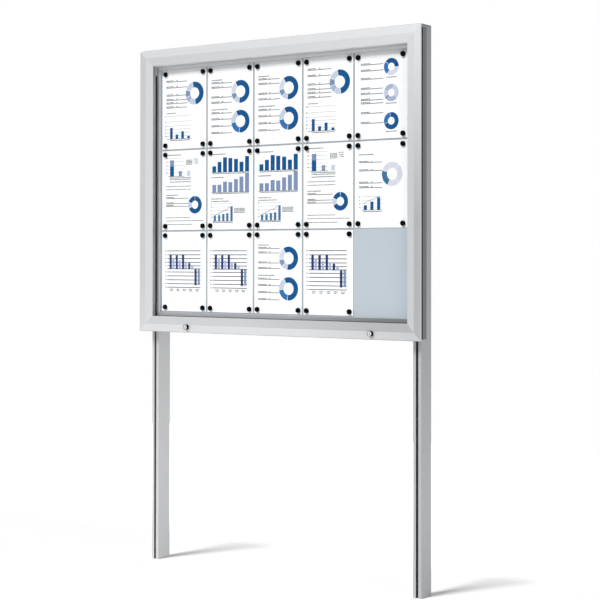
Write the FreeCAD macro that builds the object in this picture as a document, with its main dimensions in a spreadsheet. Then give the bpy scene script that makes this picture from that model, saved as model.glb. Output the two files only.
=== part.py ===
import FreeCAD, Part

# Lockable notice board on two posts: a shallow aluminium case with a glazed door hinged along its top edge.
# Millimetres, +Z up, +Y to the rear, origin on the ground in the middle. The door's front faces -Y.
# Board coordinates, used below: x from the middle, y back from the door's front, z up from its lower edge.

import math
import os
import re

import Sketcher

# Driving dimensions
SIZES = [
    ("door_width", 1216, "outside width of the door"),
    ("door_height", 1042, "outside height of the door"),
    ("rail_width", 57, "door rail, outer edge to opening"),
    ("rail_depth", 20, "door rail, front face to rear face"),
    ("rail_wall", 2, "wall of the door rail"),
    ("rail_round", 3, "rounding of the door's outer front edge"),
    ("crease", 27, "outer edge to the crease of the front face"),
    ("bevel_drop", 8, "fall of the front face from crease to opening"),
    ("flange_width", 12, "flange that covers the case's front edge"),
    ("flange_thick", 3.5, "thickness of that flange"),
    ("rebate_width", 13, "rear part of the rail that holds the glazing"),
    ("groove_depth", 9, "depth of the glazing groove"),
    ("groove_front", 24, "front face to the glazing groove"),
    ("rear_leg", 1.6, "rail wall behind the glazing groove"),
    ("glass_thick", 4, "glazing sheet"),
    ("gasket_leg", 1.2, "leg of the glazing gasket"),
    ("gasket_reach", 1.5, "gasket visible past the rail"),
    ("fit_gap", 0.3, "clearance beside loose parts"),
    ("pin_gap", 0.05, "radial clearance of pins and shafts"),
    ("closing_gap", 1, "door rail to the case's front edge"),
    ("case_inset", 5, "door's outer edge to the case's side"),
    ("case_depth", 44.5, "door's front face to the case's rear"),
    ("case_wall", 2, "wall of the case profile"),
    ("channel_width", 43, "clear channel between case wall and lip"),
    ("lip_width", 21, "width of the case's inner lip"),
    ("lip_gap", 2, "door's rear face to the lip"),
    ("panel_groove", 5, "depth of the back panel's groove"),
    ("panel_thick", 1.5, "back panel"),
    ("panel_play", 1, "back panel's edge to the bottom of its groove"),
    ("key_arm", 60, "arm of the door's corner keys"),
    ("case_key_arm", 45, "arm of the case's corner keys"),
    ("seal_width", 5, "lip seal"),
    ("edge_seal_width", 6.5, "seal on the side of the door rail"),
    ("sheet_width", 210, "displayed sheet"),
    ("sheet_height", 297, "displayed sheet"),
    ("sheet_thick", 0.3, "displayed sheet"),
    ("column_gap", 3.3, "gap between two columns"),
    ("row_gap", 2.5, "gap between two rows"),
    ("empty_places", 1, "places left empty at the right of the lowest row"),
    ("sheet_rise", 1, "sheets above the middle of the opening"),
    ("magnet_width", 16, "magnet diameter"),
    ("magnet_height", 6.5, "magnet"),
    ("magnet_inset", 16, "sheet's edge to the magnet's centre"),
    ("hinge_setback", 12, "door's front face to the hinge axis"),
    ("hinge_drop", 0.5, "hinge axis below the door's top edge"),
    ("hinge_end", 12, "door's side to the end of the hinge"),
    ("barrel_radius", 4, "hinge barrel"),
    ("hinge_pin_radius", 2, "hinge pin"),
    ("leaf_thick", 2, "hinge leaf"),
    ("knuckle_count", 7, "hinge knuckles, the first and last on the case"),
    ("knuckle_gap", 0.5, "gap between knuckles"),
    ("strut_inset", 26, "door's side to the middle of a gas strut"),
    ("strut_setback", 34.5, "door's front face to the struts"),
    ("strut_high", 100, "hinge axis down to the upper pivot"),
    ("tube_radius", 7, "strut tube"),
    ("tube_bore_radius", 5.8, "bore of the strut tube"),
    ("tube_start", 12, "lower pivot to the strut tube"),
    ("tube_length", 196, "strut tube"),
    ("tube_end", 4, "bottom wall of the strut tube"),
    ("rod_show", 10, "strut rod between its tube and its end fitting, door shut"),
    ("gland_length", 8, "guide of the rod at the tube's mouth"),
    ("rod_radius", 3, "strut rod"),
    ("rod_length", 114, "strut rod with its piston"),
    ("piston_length", 8, "piston"),
    ("eye_width", 9, "strut end fitting"),
    ("eye_half", 5, "half depth of the strut end fitting"),
    ("eye_corner", 2.5, "chamfer of the strut end fitting"),
    ("stud_radius", 3, "studs that the struts pivot on"),
    ("bracket_thick", 2, "strut and lock brackets"),
    ("bracket_height", 24, "foot of a strut bracket"),
    ("foot_width", 10, "foot of the case's strut bracket"),
    ("ear_reach", 5.5, "ear past the stud that it carries"),
    ("case_ear_offset", 12, "middle of the strut to the case bracket's ear"),
    ("door_ear_offset", 10, "middle of the strut to the door bracket's ear"),
    ("stud_rim", 1.5, "head of the case bracket's stud"),
    ("stud_head", 1.2, "head of the case bracket's stud"),
    ("lock_from_left", 229, "door's left side to the left lock"),
    ("lock_from_right", 193, "door's right side to the right lock"),
    ("lock_inset", 21, "door's lower edge to the lock's centre"),
    ("lock_nose", 11, "lock head in front of the door"),
    ("head_radius", 9, "lock head"),
    ("head_round", 0.4, "chamfer of the lock head's rim"),
    ("face_radius", 7.6, "silver face of the lock plug"),
    ("face_thick", 2.5, "silver face of the lock plug"),
    ("face_recess", 0.4, "plug's face behind the head's front"),
    ("barrel_outer_radius", 6, "threaded barrel of the lock"),
    ("plug_radius", 4.5, "lock plug"),
    ("lock_hole_gap", 0.2, "barrel in its hole in the rail"),
    ("nut_height", 4, "lock nut"),
    ("nut_flats", 16, "lock nut across flats"),
    ("key_slot_width", 2, "keyway"),
    ("key_slot_length", 8, "keyway"),
    ("key_slot_depth", 4, "keyway"),
    ("cam_reach", 19, "lock axis to the end of the cam"),
    ("cam_width", 14, "lock cam"),
    ("cam_corner", 2, "chamfer of the cam's end"),
    ("hub_corner", 4, "chamfer of the cam round the plug"),
    ("cam_thick", 2.5, "lock cam"),
    ("keeper_width", 30, "lock keeper"),
    ("keeper_tab", 8, "part of the keeper that the cam turns behind"),
    ("keeper_foot", 8.7, "foot of the lock keeper"),
    ("cam_gap", 0.7, "keeper to cam"),
    ("keeper_gap", 1, "end of the cam to the keeper's arm"),
    ("post_width", 32, "post"),
    ("post_depth", 66, "post"),
    ("post_height", 1897, "post without its cap"),
    ("post_rise", 5, "door's top edge to the top of the post"),
    ("post_inset", 41, "door's side to the post's middle"),
    ("post_wall", 2, "wall of the post"),
    ("post_round", 2, "rounding of the post's edges"),
    ("slot_width", 9.5, "mouth of the post's T-slot"),
    ("slot_lip", 2.2, "wall beside the T-slot's mouth"),
    ("slot_room", 16, "width of the T-slot inside"),
    ("slot_depth", 8, "post's face to the bottom of the T-slot"),
    ("cap_thick", 3, "post cap"),
    ("cap_spigot", 10, "post cap inside the post"),
    ("bolt_inset", 70, "door's edge to the outer bolts"),
    ("bolt_radius", 4, "bolts into the posts"),
    ("bolt_hole_gap", 0.3, "bolt in the case's rear wall"),
    ("bolt_flats", 13, "bolt head across flats"),
    ("bolt_head_height", 5, "bolts into the posts"),
    ("bolt_length", 7, "bolt behind the case"),
    ("slot_nut_length", 20, "nut in the T-slot"),
    ("slot_nut_height", 5, "nut in the T-slot"),
]
NAMES = {alias for alias, _, _ in SIZES}

doc = FreeCAD.newDocument("notice_board")
sheet = doc.addObject("Spreadsheet::Sheet", "sizes")
for row, (alias, number, note) in enumerate(SIZES, 1):
    sheet.set("A%d" % row, note)
    sheet.set("B%d" % row, str(number))
    sheet.setAlias("B%d" % row, alias)
doc.recompute()

# Places worked out from the driving dimensions
FRONT = "((lock_nose - case_depth - post_depth) / 2)"
BASE = "(post_height - post_rise - door_height)"
HALF = "(door_width / 2)"
TALL = "door_height"
BOX_SIDE = "flange_width"
REBATE = "(rail_width - rebate_width)"
GROOVE = "(rail_width - groove_depth)"
GROOVE_REAR = "(groove_front + glass_thick + 2 * gasket_leg)"
REBATE_REAR = f"({GROOVE_REAR} + rear_leg)"
CASE_FRONT = "(rail_depth + closing_gap)"
BACK_WALL = "(case_depth - case_wall)"
LIP_FRONT = f"({REBATE_REAR} + lip_gap)"
LIP_START = "(case_wall + channel_width)"
LIP_END = f"({LIP_START} + lip_width)"
OPENING = f"(case_inset + {LIP_END})"
GROOVE_BOTTOM = f"({LIP_END} - panel_groove)"
PANEL_FRONT = f"({BACK_WALL} - panel_thick)"
PANEL_EDGE = f"(case_inset + {GROOVE_BOTTOM} + panel_play)"
SHEET_FRONT = f"({PANEL_FRONT} - sheet_thick)"
MAGNET_FRONT = f"({SHEET_FRONT} - magnet_height)"
AXIS = "(door_height - hinge_drop)"
CASE_TOP = "(door_height - case_inset)"
CAM_FRONT = "(rail_depth + nut_height + closing_gap)"
POST_X = "(door_width / 2 - post_inset)"
HINGE_LENGTH = "(door_width - 2 * hinge_end)"
SIDES = (("left", -1), ("right", 1))
MAGNET_SIDES = 8

nodes = []


def linked(text):
    """The expression with each size pointed at its cell."""
    return re.sub(r"[a-z_]+", lambda word: "sizes." + word[0] if word[0] in NAMES else word[0], text)


def size(text):
    """The number that an expression gives now."""
    return float(sheet.evalExpression(linked(text)))


def minus(text):
    return f"-({text})"


def seat(made, x="0", y="0", z="0", axis=FreeCAD.Vector(0, 1, 0), angle=0):
    """Place an object at board coordinates, turned about an axis through its own origin."""
    made.Placement = FreeCAD.Placement(FreeCAD.Vector(), FreeCAD.Rotation(axis, angle))
    made.setExpression("Placement.Base.x", linked(x))
    made.setExpression("Placement.Base.y", linked(f"{FRONT} + {y}"))
    made.setExpression("Placement.Base.z", linked(f"{BASE} + {z}"))
    return made


def node(made, name):
    """Name a finished sub-part."""
    made.Label = name
    nodes.append(made)
    return made


def body(name):
    made = doc.addObject("PartDesign::Body", "body_" + name)
    made.AllowCompound = True
    return made


def sketch(owner, plane, offset="0"):
    """A sketch on one of the body's own planes, moved along the plane's normal."""
    drawn = owner.newObject("Sketcher::SketchObject", owner.Name + "_sketch")
    origin = {feature.Role: feature for feature in owner.Origin.OriginFeatures}
    drawn.AttachmentSupport = [(origin[plane], "")]
    drawn.MapMode = "FlatFace"
    drawn.setExpression("AttachmentOffset.Base.z", linked(offset))
    return drawn


def bind(drawn, rules):
    """Add dimensions whose last entry is an expression."""
    made = [Sketcher.Constraint(*rule[:-1], size(rule[-1])) for rule in rules]
    for number, rule in zip(drawn.addConstraint(made), rules):
        drawn.setExpression("Constraints[%d]" % number, linked(rule[-1]))


def outline(drawn, points):
    """A closed outline. A third entry makes an arc to that point, its centre on the left if positive."""
    places = [FreeCAD.Vector(size(point[0]), size(point[1]), 0) for point in points]
    joins = []
    rules = []
    for here, start in enumerate(places):
        there = (here + 1) % len(points)
        end = places[there]
        if len(points[there]) == 2:
            edge = drawn.addGeometry(Part.LineSegment(start, end))
            joins.append((edge, 1, 2))
        else:
            radius = abs(size(points[there][2]))
            left = size(points[there][2]) > 0
            half = (end - start) / 2
            rise = math.sqrt(max(radius ** 2 - half.Length ** 2, 0)) / half.Length
            side = FreeCAD.Vector(-half.y, half.x, 0) * (rise if left else -rise)
            centre = start + half + side
            first, last = (start, end) if left else (end, start)
            angles = [math.atan2(p.y - centre.y, p.x - centre.x) for p in (first, last)]
            circle = Part.Circle(centre, FreeCAD.Vector(0, 0, 1), radius)
            edge = drawn.addGeometry(Part.ArcOfCircle(circle, *angles))
            joins.append((edge, 1, 2) if left else (edge, 2, 1))
            rules.append(("Radius", edge, f"abs({points[there][2]})"))
    for (edge, _, end), (following, start, _) in zip(joins, joins[1:] + joins[:1]):
        drawn.addConstraint(Sketcher.Constraint("Coincident", edge, end, following, start))
    for (edge, start, _), point in zip(joins, points):
        rules.append(("DistanceX", edge, start, point[0]))
        rules.append(("DistanceY", edge, start, point[1]))
    bind(drawn, rules)


def rectangle(drawn, left, right, low, high):
    outline(drawn, [(left, low), (right, low), (right, high), (left, high)])


def circles(drawn, radius, centres):
    """Equal circles at places given by expressions."""
    rules = []
    for x, y in centres:
        circle = Part.Circle(FreeCAD.Vector(size(x), size(y), 0), FreeCAD.Vector(0, 0, 1), size(radius))
        edge = drawn.addGeometry(circle)
        rules.append(("Radius", edge, radius))
        rules.append(("DistanceX", edge, 3, x))
        rules.append(("DistanceY", edge, 3, y))
    bind(drawn, rules)


def hexagon(drawn, flats):
    """A hexagon about the sketch's origin, two of its sides level."""
    corner = f"({flats}) / sqrt(3)"
    flat = f"({flats}) / 2"
    half = [(corner, "0"), (f"{corner} / 2", flat), (f"-{corner} / 2", flat)]
    outline(drawn, half + [(minus(x), minus(y)) for x, y in half])


def pad(owner, drawn, length, way="along"):
    """Pad a sketch along its normal, against it ("back") or half to each side ("middle")."""
    made = owner.newObject("PartDesign::Pad", owner.Name + "_pad")
    made.Profile = drawn
    made.setExpression("Length", linked(length))
    made.Reversed = way == "back"
    made.SideType = "Symmetric" if way == "middle" else "One side"
    return made


def pocket(owner, drawn, length=None, way="along"):
    """Cut a sketch through everything, or to a depth; it must take material away."""
    doc.recompute()
    before = owner.Shape.Volume
    made = owner.newObject("PartDesign::Pocket", owner.Name + "_pocket")
    made.Profile = drawn
    if length is None:
        made.Type = "ThroughAll"
        made.SideType = "Symmetric"
    else:
        made.setExpression("Length", linked(length))
        made.Reversed = way == "back"
    doc.recompute()
    if not owner.Shape.Volume < before:
        raise ValueError(made.Name + " cuts nothing")
    return made


def pattern(owner, features, across, up):
    """Repeat features along X and Z; each way is a count and the expression of its pitch."""
    origin = {feature.Role: feature for feature in owner.Origin.OriginFeatures}
    made = owner.newObject("PartDesign::LinearPattern", owner.Name + "_pattern")
    made.Originals = features
    made.Direction = (origin["X_Axis"], [""])
    made.Occurrences = across[0]
    made.setExpression("Length", linked(f"{across[0] - 1} * {across[1]}"))
    made.Direction2 = (origin["Z_Axis"], [""])
    made.Occurrences2 = up[0]
    made.setExpression("Length2", linked(f"{up[0]} * {up[1]} - {up[1]}"))
    owner.Tip = made
    return made


def revolve(owner, drawn):
    """Revolve a sketch about its vertical axis."""
    made = owner.newObject("PartDesign::Revolution", owner.Name + "_revolution")
    made.Profile = drawn
    made.ReferenceAxis = (drawn, ["V_Axis"])
    made.Angle = 360
    return made


def cylinder(name, radius, length, x, y, z, axis="z"):
    """A cylinder that starts at a place and runs along +X or +Z."""
    made = doc.addObject("Part::Cylinder", name)
    made.setExpression("Radius", linked(radius))
    made.setExpression("Height", linked(length))
    turns = {"x": (FreeCAD.Vector(0, 1, 0), 90), "z": (FreeCAD.Vector(0, 0, 1), 0)}
    return seat(made, x, y, z, *turns[axis])


def block(name, x, y, z):
    """A box between pairs of places, low and high, on each axis."""
    made = doc.addObject("Part::Box", name)
    for side, (low, high) in zip(("Length", "Width", "Height"), (x, y, z)):
        made.setExpression(side, linked(f"({high}) - ({low})"))
    return seat(made, x[0], y[0], z[0])


def fuse(name, pieces):
    made = doc.addObject("Part::MultiFuse", name)
    made.Shapes = pieces
    made.Refine = True
    return made


def cut(name, base, tool):
    made = doc.addObject("Part::Cut", name)
    made.Base = base
    made.Tool = tool
    made.Refine = True
    return made


def group(name, pieces):
    made = doc.addObject("Part::Compound", name)
    made.Links = pieces
    return made


# Mitred frames: each member is drawn along X with its outer side at z = 0 and its inside towards +Z

FRAME_SIDES = {
    "bottom": ("0", "0", 0),
    "top": ("0", "1", 180),
    "left": ("-1", "0.5", 90),
    "right": ("1", "0.5", -90),
}


def mitre(owner, length, width):
    """Cut both ends of a frame member at 45 degrees."""
    ends = sketch(owner, "XZ_Plane")
    half = f"({length}) / 2"
    for way in ("", "-"):
        outline(
            ends,
            [
                (f"{way}(1 + {half})", "-1"),
                (f"{way}(1 + {half})", f"{width} + 1"),
                (f"{way}({half} - {width} - 1)", f"{width} + 1"),
            ],
        )
    pocket(owner, ends)


def place_member(made, side, inset):
    """Turn and move a frame member to its side of the board."""
    across, up, angle = FRAME_SIDES[side]
    x = f"{across} * ({HALF} - {inset})"
    z = f"{inset} + {up} * ({TALL} - 2 * {inset})"
    return seat(made, x, "0", z, FreeCAD.Vector(0, 1, 0), angle)


# Door rails

door_profile = [
    ("flange_thick", "0"),
    ("rail_round", "0"),
    ("0", "rail_round", "-rail_round"),
    ("0", "crease"),
    ("bevel_drop", "rail_width"),
    ("groove_front", "rail_width"),
    ("groove_front", GROOVE),
    (GROOVE_REAR, GROOVE),
    (GROOVE_REAR, "rail_width"),
    (REBATE_REAR, "rail_width"),
    (REBATE_REAR, REBATE),
    ("rail_depth", REBATE),
    ("rail_depth", BOX_SIDE),
    ("flange_thick", BOX_SIDE),
]
slope = "bevel_drop / (rail_width - crease)"
bevel_inside = f"(rail_wall + {slope} * (rail_width - rail_wall - crease))"
door_chamber = [
    ("rail_wall", f"{BOX_SIDE} + rail_wall"),
    ("rail_wall", "crease"),
    (bevel_inside, "rail_width - rail_wall"),
    ("groove_front - rail_wall", "rail_width - rail_wall"),
    ("groove_front - rail_wall", f"{REBATE} + rail_wall"),
    ("rail_depth - rail_wall", f"{REBATE} + rail_wall"),
    ("rail_depth - rail_wall", f"{BOX_SIDE} + rail_wall"),
]
lock_places = {"left": "(lock_from_left - door_width / 2)", "right": "(door_width / 2 - lock_from_right)"}
lock_hole = "(barrel_outer_radius + lock_hole_gap)"

for side in FRAME_SIDES:
    length = "door_height" if side in ("left", "right") else "door_width"
    rail = body(f"door_{side}_rail")
    profile = sketch(rail, "YZ_Plane")
    outline(profile, door_profile)
    outline(profile, door_chamber)
    pad(rail, profile, length, "middle")
    mitre(rail, length, "rail_width")
    if side == "bottom":
        holes = sketch(rail, "XZ_Plane")
        circles(holes, lock_hole, [(place, "lock_inset") for place in lock_places.values()])
        pocket(rail, holes)
    node(place_member(rail, side, "0"), f"door_{side}_rail")


def corner_keys(name, outer, inner, arm, front, rear):
    """Four L-shaped keys, one in each mitred corner; outer and inner are distances from the door's edge."""
    keys = body(name)
    drawn = sketch(keys, "XZ_Plane", minus(front))
    far = f"{outer} + {arm}"
    shape = [(outer, outer), (far, outer), (far, inner), (inner, inner), (inner, far), (outer, far)]
    for across in ("-", ""):
        for low in (True, False):
            corner = [(f"{across}({HALF} - ({u}))", w if low else f"{TALL} - ({w})") for u, w in shape]
            outline(drawn, corner)
    pad(keys, drawn, f"{rear} - ({front})", "back")
    return node(seat(keys), name)


corner_keys(
    "door_corner_keys",
    f"({BOX_SIDE} + rail_wall + fit_gap)",
    f"({REBATE} + rail_wall - fit_gap)",
    "key_arm",
    bevel_inside,
    "(rail_depth - rail_wall - fit_gap)",
)

# Glazing and its gasket

pane = f"({GROOVE} + gasket_leg + fit_gap)"
glazing = block(
    "glazing_block",
    (f"{pane} - {HALF}", f"{HALF} - {pane}"),
    ("groove_front + gasket_leg", "groove_front + gasket_leg + glass_thick"),
    (pane, f"{TALL} - {pane}"),
)
node(glazing, "glazing")


def frame_rings(drawn, outer, inner):
    """Two rectangles at two distances from the door's edge."""
    for edge in (outer, inner):
        rectangle(drawn, f"{edge} - {HALF}", f"{HALF} - {edge}", edge, f"{TALL} - {edge}")


gasket = body("glazing_gasket")
ring = sketch(gasket, "XZ_Plane", minus("groove_front"))
frame_rings(ring, GROOVE, "(rail_width + gasket_reach)")
pad(gasket, ring, f"{GROOVE_REAR} - groove_front", "back")
throat = sketch(gasket, "XZ_Plane", minus("groove_front + gasket_leg"))
throat_edge = f"({GROOVE} + gasket_leg)"
throat_side = f"{HALF} - {throat_edge}"
rectangle(throat, minus(throat_side), throat_side, throat_edge, f"{TALL} - {throat_edge}")
pocket(gasket, throat, "glass_thick")
node(seat(gasket), "glazing_gasket")

# Seal on the sides and the bottom of the door's box section, behind its flange

edge_seal = body("edge_seal")
run = sketch(edge_seal, "XZ_Plane", minus("flange_thick"))
outer = f"({BOX_SIDE} - edge_seal_width)"
top = f"{TALL} - {BOX_SIDE}"
outline(
    run,
    [
        (f"{outer} - {HALF}", top),
        (f"{outer} - {HALF}", outer),
        (f"{HALF} - {outer}", outer),
        (f"{HALF} - {outer}", top),
        (f"{HALF} - {BOX_SIDE}", top),
        (f"{HALF} - {BOX_SIDE}", BOX_SIDE),
        (f"{BOX_SIDE} - {HALF}", BOX_SIDE),
        (f"{BOX_SIDE} - {HALF}", top),
    ],
)
pad(edge_seal, run, f"{CASE_FRONT} - fit_gap - flange_thick", "back")
node(seat(edge_seal), "edge_seal")

# Case profiles: outer wall, open channel and hollow lip with the groove for the back panel

case_profile = [
    (CASE_FRONT, "0"),
    (CASE_FRONT, "case_wall"),
    (BACK_WALL, "case_wall"),
    (BACK_WALL, LIP_START),
    (LIP_FRONT, LIP_START),
    (LIP_FRONT, LIP_END),
    (f"{PANEL_FRONT} - fit_gap", LIP_END),
    (f"{PANEL_FRONT} - fit_gap", GROOVE_BOTTOM),
    (BACK_WALL, GROOVE_BOTTOM),
    (BACK_WALL, LIP_END),
    ("case_depth", LIP_END),
    ("case_depth", "0"),
]
lip_chamber = [
    (f"{LIP_FRONT} + case_wall", f"{LIP_START} + case_wall"),
    (f"{LIP_FRONT} + case_wall", f"{LIP_END} - case_wall"),
    (f"{PANEL_FRONT} - fit_gap - case_wall", f"{LIP_END} - case_wall"),
    (f"{PANEL_FRONT} - fit_gap - case_wall", f"{GROOVE_BOTTOM} - case_wall"),
    (BACK_WALL, f"{GROOVE_BOTTOM} - case_wall"),
    (BACK_WALL, f"{LIP_START} + case_wall"),
]
bolt_hole = "(bolt_radius + bolt_hole_gap)"

for side in FRAME_SIDES:
    upright = side in ("left", "right")
    length = "(door_height - 2 * case_inset)" if upright else "(door_width - 2 * case_inset)"
    member = body(f"case_{side}_profile")
    profile = sketch(member, "YZ_Plane")
    outline(profile, case_profile)
    outline(profile, lip_chamber)
    pad(member, profile, length, "middle")
    mitre(member, length, LIP_END)
    if upright:
        holes = sketch(member, "XZ_Plane")
        along = f"({TALL} / 2 - bolt_inset)"
        circles(holes, bolt_hole, [(place, "post_inset - case_inset") for place in (minus(along), along)])
        pocket(member, holes)
    node(place_member(member, side, "case_inset"), f"case_{side}_profile")

corner_keys(
    "case_corner_keys",
    f"(case_inset + {LIP_START} + case_wall + fit_gap)",
    f"(case_inset + {GROOVE_BOTTOM} - case_wall - fit_gap)",
    "case_key_arm",
    f"({LIP_FRONT} + case_wall + fit_gap)",
    f"({BACK_WALL} - fit_gap)",
)

back_panel = block(
    "back_panel_block",
    (f"{PANEL_EDGE} - {HALF}", f"{HALF} - {PANEL_EDGE}"),
    (PANEL_FRONT, BACK_WALL),
    (PANEL_EDGE, f"{TALL} - {PANEL_EDGE}"),
)
node(back_panel, "back_panel")

lip_seal = body("lip_seal")
seal_front = f"({REBATE_REAR} + fit_gap)"
strip = sketch(lip_seal, "XZ_Plane", minus(seal_front))
seal_outer = f"(case_inset + {LIP_START} + fit_gap)"
frame_rings(strip, seal_outer, f"({seal_outer} + seal_width)")
pad(lip_seal, strip, f"{LIP_FRONT} - {seal_front}", "back")
node(seat(lip_seal), "lip_seal")

# Displayed sheets, as many as the opening takes, with the lower right place empty, and their magnets

column_pitch = "(sheet_width + column_gap)"
row_pitch = "(sheet_height + row_gap)"
columns = int(size(f"floor((door_width - 2 * {OPENING} + column_gap) / {column_pitch})"))
rows = int(size(f"floor(({TALL} - 2 * {OPENING} + row_gap) / {row_pitch})"))
empty = int(size("empty_places"))
sheets_left = f"((column_gap - {columns} * {column_pitch}) / 2)"
sheets_low = f"({TALL} / 2 + sheet_rise + (row_gap - {rows} * {row_pitch}) / 2)"
places = []
for line in range(rows):
    for place in range(columns - (empty if line == 0 else 0)):
        left = f"({sheets_left} + {place} * {column_pitch})"
        low = f"({sheets_low} + {line} * {row_pitch})"
        places.append((left, low))

sheets = body("paper_sheets")
drawn = sketch(sheets, "XZ_Plane", minus(SHEET_FRONT))
for left, low in places:
    rectangle(drawn, left, f"{left} + sheet_width", low, f"{low} + sheet_height")
pad(sheets, drawn, "sheet_thick", "back")
node(seat(sheets), "paper_sheets")


def magnet_field(name, low, across_count, up_count):
    """Four eight-sided magnets near a sheet's corners, repeated over a block of sheets."""
    field = body(name)
    drawn = sketch(field, "XZ_Plane", minus(MAGNET_FRONT))
    reach = f"(magnet_width / 2 / cos({180 / MAGNET_SIDES}))"
    turns = [180 * (2 * corner + 1) / MAGNET_SIDES for corner in range(MAGNET_SIDES)]
    for x in ("magnet_inset", "(sheet_width - magnet_inset)"):
        for z in ("magnet_inset", "(sheet_height - magnet_inset)"):
            points = [(f"{x} + {reach} * cos({turn})", f"{z} + {reach} * sin({turn})") for turn in turns]
            outline(drawn, points)
    first = pad(field, drawn, "magnet_height", "back")
    pattern(field, [first], (across_count, column_pitch), (up_count, row_pitch))
    return seat(field, sheets_left, "0", low)


upper_rows = magnet_field("magnets_upper", f"({sheets_low} + {row_pitch})", columns, rows - 1)
lowest_row = magnet_field("magnets_lowest", sheets_low, columns - empty, 1)
node(group("magnets_all", [upper_rows, lowest_row]), "magnets")

# Continuous hinge along the top edge

case_leaf_profile = [
    ("case_depth - case_wall", CASE_TOP),
    ("case_depth - case_wall", f"{CASE_TOP} + leaf_thick"),
    (f"{CASE_FRONT} + leaf_thick / 2", f"{CASE_TOP} + leaf_thick"),
    (f"{CASE_FRONT} + leaf_thick / 2", f"{AXIS} + leaf_thick / 2"),
    ("hinge_setback + barrel_radius + knuckle_gap", f"{AXIS} + leaf_thick / 2"),
    ("hinge_setback + barrel_radius + knuckle_gap", f"{AXIS} - leaf_thick / 2"),
    (f"{CASE_FRONT} - leaf_thick / 2", f"{AXIS} - leaf_thick / 2"),
    (f"{CASE_FRONT} - leaf_thick / 2", CASE_TOP),
]
door_top = f"({TALL} - {BOX_SIDE})"
web = f"({AXIS} - barrel_radius - knuckle_gap)"
door_leaf_profile = [
    ("flange_thick + closing_gap", door_top),
    ("rail_depth - closing_gap", door_top),
    ("rail_depth - closing_gap", f"{door_top} + leaf_thick"),
    ("hinge_setback + leaf_thick / 2", f"{door_top} + leaf_thick"),
    ("hinge_setback + leaf_thick / 2", web),
    ("hinge_setback - leaf_thick / 2", web),
    ("hinge_setback - leaf_thick / 2", f"{door_top} + leaf_thick"),
    ("flange_thick + closing_gap", f"{door_top} + leaf_thick"),
]
knuckle_pitch = f"({HINGE_LENGTH} / knuckle_count)"
knuckles = int(size("knuckle_count"))


def hinge_leaf(name, profile, first, tongue_y, tongue_z):
    """A folded leaf with every other knuckle, each joined to the leaf by a tongue."""
    strip = body(name)
    drawn = sketch(strip, "YZ_Plane")
    outline(drawn, profile)
    pad(strip, drawn, HINGE_LENGTH, "middle")
    pieces = [seat(strip)]
    for place in range(first, knuckles, 2):
        start = f"({place} * {knuckle_pitch} - {HINGE_LENGTH} / 2 + knuckle_gap / 2)"
        length = f"({knuckle_pitch} - knuckle_gap)"
        knuckle = f"{name}_knuckle_{place}"
        pieces.append(cylinder(knuckle, "barrel_radius", length, start, "hinge_setback", AXIS, "x"))
        pieces.append(block(f"{name}_tongue_{place}", (start, f"{start} + {length}"), tongue_y, tongue_z))
    start = f"-{HINGE_LENGTH} / 2 - 1"
    radius = "hinge_pin_radius + pin_gap"
    bore = cylinder(name + "_bore", radius, f"{HINGE_LENGTH} + 2", start, "hinge_setback", AXIS, "x")
    return node(cut(name + "_cut", fuse(name + "_fuse", pieces), bore), name)


hinge_leaf(
    "hinge_leaf_case",
    case_leaf_profile,
    0,
    ("hinge_setback", "hinge_setback + barrel_radius + knuckle_gap"),
    (f"{AXIS} - leaf_thick / 2", f"{AXIS} + leaf_thick / 2"),
)
hinge_leaf(
    "hinge_leaf_door",
    door_leaf_profile,
    1,
    ("hinge_setback - leaf_thick / 2", "hinge_setback + leaf_thick / 2"),
    (web, AXIS),
)
start = f"-{HINGE_LENGTH} / 2"
pin = cylinder("hinge_pin_rod", "hinge_pin_radius", HINGE_LENGTH, start, "hinge_setback", AXIS, "x")
node(pin, "hinge_pin")

# Posts with a T-slot front and rear, caps, and the bolts that carry the case

half_post = "(post_width / 2)"
chamber_front = "(slot_depth + post_wall)"
chamber_rear = "(post_depth - slot_depth - post_wall)"


def mirrored(points):
    """An outline through the points and then their mirror images about x = 0."""
    across = [(minus(point[0]),) + tuple(point[1:]) for point in points]
    return points + across[::-1]


def rounded_post(drawn):
    """The post's outer outline without its slots."""
    near = f"({half_post} - post_round)"
    far = "(post_depth - post_round)"
    outline(
        drawn,
        [
            (near, "0"),
            (half_post, "post_round", "post_round"),
            (half_post, far),
            (near, "post_depth", "post_round"),
            (minus(near), "post_depth"),
            (minus(half_post), far, "post_round"),
            (minus(half_post), "post_round"),
            (minus(near), "0", "post_round"),
        ],
    )


for side, way in SIDES:
    post = body(f"post_{side}")
    section = sketch(post, "XY_Plane")
    rounded_post(section)
    rectangle(section, f"post_wall - {half_post}", f"{half_post} - post_wall", chamber_front, chamber_rear)
    pad(post, section, "post_height")
    slots = sketch(post, "XY_Plane")
    for face, inward in (("0", ""), ("post_depth", "-")):
        outline(
            slots,
            mirrored(
                [
                    ("slot_width / 2", f"{face} - {inward}1"),
                    ("slot_width / 2", f"{face} + {inward}slot_lip"),
                    ("slot_room / 2", f"{face} + {inward}slot_lip"),
                    ("slot_room / 2", f"{face} + {inward}slot_depth"),
                ]
            ),
        )
    pocket(post, slots)
    node(seat(post, f"{way} * {POST_X}", "case_depth", minus(BASE)), f"post_{side}")

caps = []
spigot_side = f"({half_post} - post_wall - fit_gap)"
for side, way in SIDES:
    cap = body(f"post_cap_{side}")
    plate = sketch(cap, "XY_Plane")
    rounded_post(plate)
    pad(cap, plate, "cap_thick")
    spigot = sketch(cap, "XY_Plane")
    rectangle(
        spigot, minus(spigot_side), spigot_side, f"{chamber_front} + fit_gap", f"{chamber_rear} - fit_gap"
    )
    pad(cap, spigot, "cap_spigot", "back")
    caps.append(seat(cap, f"{way} * {POST_X}", "case_depth", f"(post_height - {BASE})"))
node(group("post_cap_pair", caps), "post_caps")


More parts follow.
